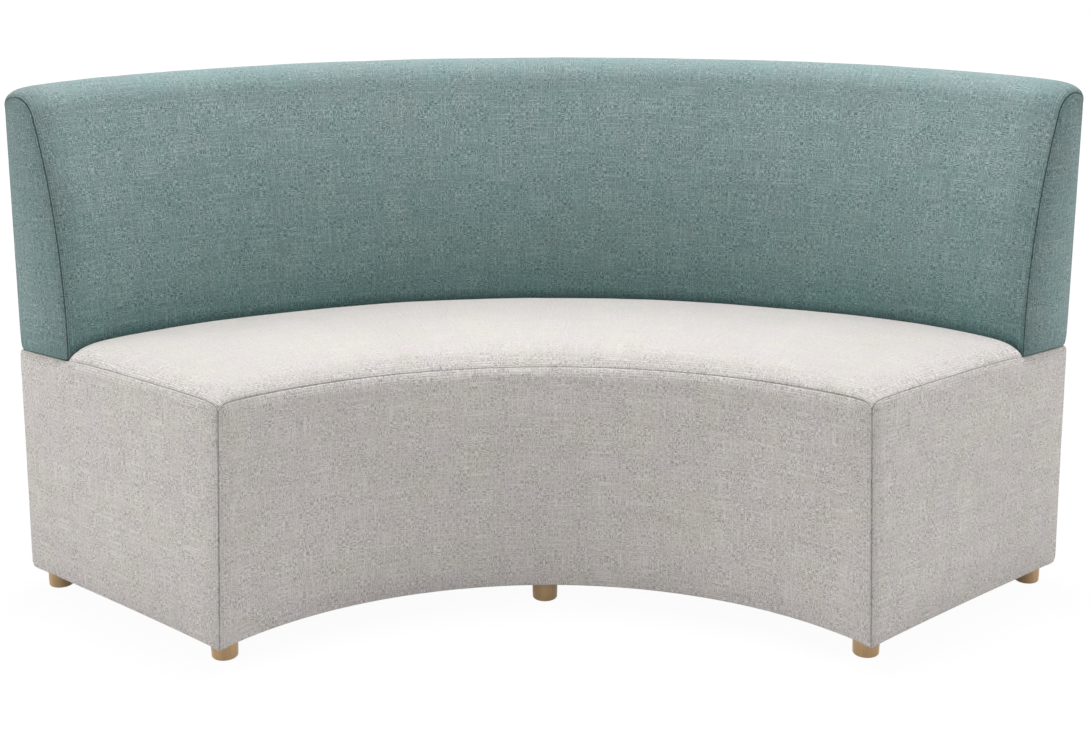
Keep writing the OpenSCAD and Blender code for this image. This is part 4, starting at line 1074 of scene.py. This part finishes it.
def back_rear():
    share, d = columns(REAR_R + 4)
    full = REAR_SEAM - JOINT
    top = full - EDGE[::-1]
    places = np.concatenate([np.linspace(8, top[0] - 5, 60), top])
    face = np.stack([np.zeros(len(places)), places], -1)
    rows = np.concatenate([[[24.0, 0.0]], rounded(4, 7), face], 0)
    back_in, up = rows[:, :1], rows[:, 1:]
    a = share * HALF
    down = full - up
    u = a * REAR_R + 0 * up
    bulge = 2.5 * rise(d, 12) * rise(down, 12) * rise(up, 14) * (back_in < 6)
    wave = undulate(u, up, 61, 0.6) * rise(d, 8) * rise(down, 8)
    wave = (wave + pucker(u, down, 62, 0.5) + pucker(up, d, 63, 0.5)) * (back_in < 4)
    radius = rear_at(JOINT + up) - back_in - rear_draw(d) - tuck(up) + bulge + wave
    radius = radius - corner(d, BACK_GROOVE) - groove(down, BACK_GROOVE)
    z = JOINT + up
    lift = crown(REAR_R + REAR_LEAN, z, d, a) + joint_drop(REAR_R, z)
    outer = polar(radius, a, z + lift, -gathered(d, BACK_GROOVE) - lean_in(z, d, a))
    inner = closing(
        [
            (REAR_R - 6.0, a * 0.995, REAR_SEAM - 3),
            (REAR_R - REAR_THICK, a * 0.995, JOINT + 8),
            (REAR_R - 24, a, JOINT + 1.6),
        ]
    )
    cloth = np.stack([u, lengths(rows) + 0 * u], -1)
    replaced = ("back_rear_cover", "back_rear_padding")
    panel("back_rear_pad", outer, inner, cloth, np.minimum(down, d), SAGE, replaced)


def under():
    """The cloth stapled under the seat box, drawn tight with a slight sag between its edges."""
    inner_r, outer_r = FRONT_R + 8.0, REAR_R - 28.0
    a = np.linspace(-1, 1, 141) * (HALF - 8.0 / 900)
    share = np.linspace(0, 1, 41)[:, None]
    r = inner_r + share * (outer_r - inner_r)
    d = end_distance(r, a)
    sag = 0.25 + 1.4 * np.sin(math.pi * share) ** 0.7 * rise(d, 60)
    sag = sag * (1 - np.exp(-(((d - 37) ** 2 + (np.minimum(r - 729, 1191 - r)) ** 2) / 1200)))
    wave = 0.25 * noise(a * 900 / 60, r / 50, 71) * rise(d, 20)
    z = HEM + 0.6 - 0.3 * np.minimum(sag, 1.8) + wave * 0.6
    verts = np.concatenate([polar(r, a, z + half).reshape(-1, 3) for half in (-0.3, 0.3)], 0)
    total, cols = z.size, z.shape[1]
    index = np.arange(total).reshape(z.shape)
    faces = []
    for p in index[:-1, :-1].ravel().tolist():
        q = total + p
        faces += [(p, p + cols, p + cols + 1, p + 1), (q, q + 1, q + cols + 1, q + cols)]
    rim = np.concatenate([index[0], index[1:, -1], index[-1, -2::-1], index[-2:0:-1, 0]]).tolist()
    for p, q in zip(rim, rim[1:] + rim[:1]):
        faces.append((p, q, total + q, total + p))
    mesh = bpy.data.meshes.new("under_cloth_sheet")
    mesh.from_pydata(verts.tolist(), [], faces)
    mesh.shade_smooth()
    mesh.set_sharp_from_angle(angle=math.radians(60))
    mesh.materials.append(LOOKS["under_cloth"])
    obj = added("under_cloth_sheet", mesh)
    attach(obj, "root")
    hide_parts("dust_cover")


seat()
front()
for side in (-1, 1):
    end(side)
    back_end(side)
rear()
back()
back_rear()
settle()
under()

# Camera, floor and light

PHOTO_WIDTH, FOCAL = 1090.0, 1674.92  # the photograph's width and focal length, in its pixels
SENSOR = 36.0


def camera():
    data = bpy.data.cameras.new("camera")
    data.sensor_width = SENSOR
    data.sensor_fit = "HORIZONTAL"
    data.lens = FOCAL * SENSOR / PHOTO_WIDTH
    data.shift_x = -0.12 / PHOTO_WIDTH
    data.shift_y = -143.5 / PHOTO_WIDTH
    data.clip_end = 60.0
    obj = added("camera", data)
    pitch, yaw, roll = 0.197045778, 0.00520112, -0.00206593
    forward = Vector((math.sin(yaw) * math.cos(pitch), math.cos(yaw) * math.cos(pitch), -math.sin(pitch)))
    right = Vector((math.cos(yaw), -math.sin(yaw), 0.0))
    up = right.cross(forward)
    across = math.cos(roll) * right + math.sin(roll) * up
    upright = -math.sin(roll) * right + math.cos(roll) * up
    place = Vector((-0.012951, -2.088998 + CENTRE_Y / 1000.0, 1.244783))
    turn = Matrix((across, upright, -forward)).transposed()
    obj.matrix_world = Matrix.Translation(place) @ turn.to_4x4()
    scene.camera = obj


def floor():
    """A pale floor that reads white to the camera and keeps a faint shadow under the bench."""
    mesh = bpy.data.meshes.new("floor")
    size = 14.0
    corners = [(-size, -size, 0), (size, -size, 0), (size, size, 0), (-size, size, 0)]
    mesh.from_pydata(corners, [], [(0, 1, 2, 3)])
    n = Net("floor_white")
    shade = n.node("ShaderNodeBsdfDiffuse", {"Color": (0.8, 0.8, 0.8, 1)})
    white = n.node("ShaderNodeEmission", {"Color": (1, 1, 1, 1), "Strength": 1.03})
    path = n.node("ShaderNodeLightPath")
    seen = n.math("MAXIMUM", path.outputs["Is Camera Ray"], path.outputs["Is Glossy Ray"])
    away = n.node("ShaderNodeVectorMath", {0: n.place()}, operation="LENGTH").outputs["Value"]
    part = n.times(seen, n.span(away, 1.0, 2.2, 0.93, 1.0))
    mixed = n.node("ShaderNodeMixShader", {0: part, 1: shade.outputs[0], 2: white.outputs[0]})
    n.node("ShaderNodeOutputMaterial", {0: mixed.outputs[0]})
    mesh.materials.append(n.material)
    obj = added("floor", mesh)


def light(name, place, aim, size, power, colour=(1.0, 1.0, 1.0)):
    data = bpy.data.lights.new(name, "AREA")
    data.shape = "SQUARE"
    data.color = colour
    data.size = size
    data.energy = power
    obj = added(name, data)
    obj.location = place
    obj.rotation_euler = (Vector(aim) - Vector(place)).to_track_quat("-Z", "Y").to_euler()


def world():
    made = bpy.data.worlds.new("studio")
    scene.world = made
    made.use_nodes = True
    tree = made.node_tree
    tree.nodes.clear()
    mixed = tree.nodes.new("ShaderNodeMixShader")
    path = tree.nodes.new("ShaderNodeLightPath")
    tree.links.new(path.outputs["Is Camera Ray"], mixed.inputs[0])
    # The dim white that lights the bench, then the plain white that the camera sees
    for socket, strength in ((1, 0.11), (2, 1.0)):
        white = tree.nodes.new("ShaderNodeBackground")
        white.inputs[0].default_value = (1, 1, 1, 1)
        white.inputs[1].default_value = strength
        tree.links.new(white.outputs[0], mixed.inputs[socket])
    tree.links.new(mixed.outputs[0], tree.nodes.new("ShaderNodeOutputWorld").inputs[0])


camera()
floor()
world()
bench = (0.0, 0.0, 0.4)
light("overhead", (0.0, 0.3, 5.0), bench, 1.6, 160.0, (0.99, 1.0, 1.03))
light("behind", (0.0, 2.4, 4.2), bench, 1.8, 48.0)
light("left", (-3.6, -1.6, 1.6), bench, 2.4, 60.0)
light("right", (3.6, -1.6, 1.6), bench, 2.4, 50.0)
scene.view_settings.view_transform = "Standard"
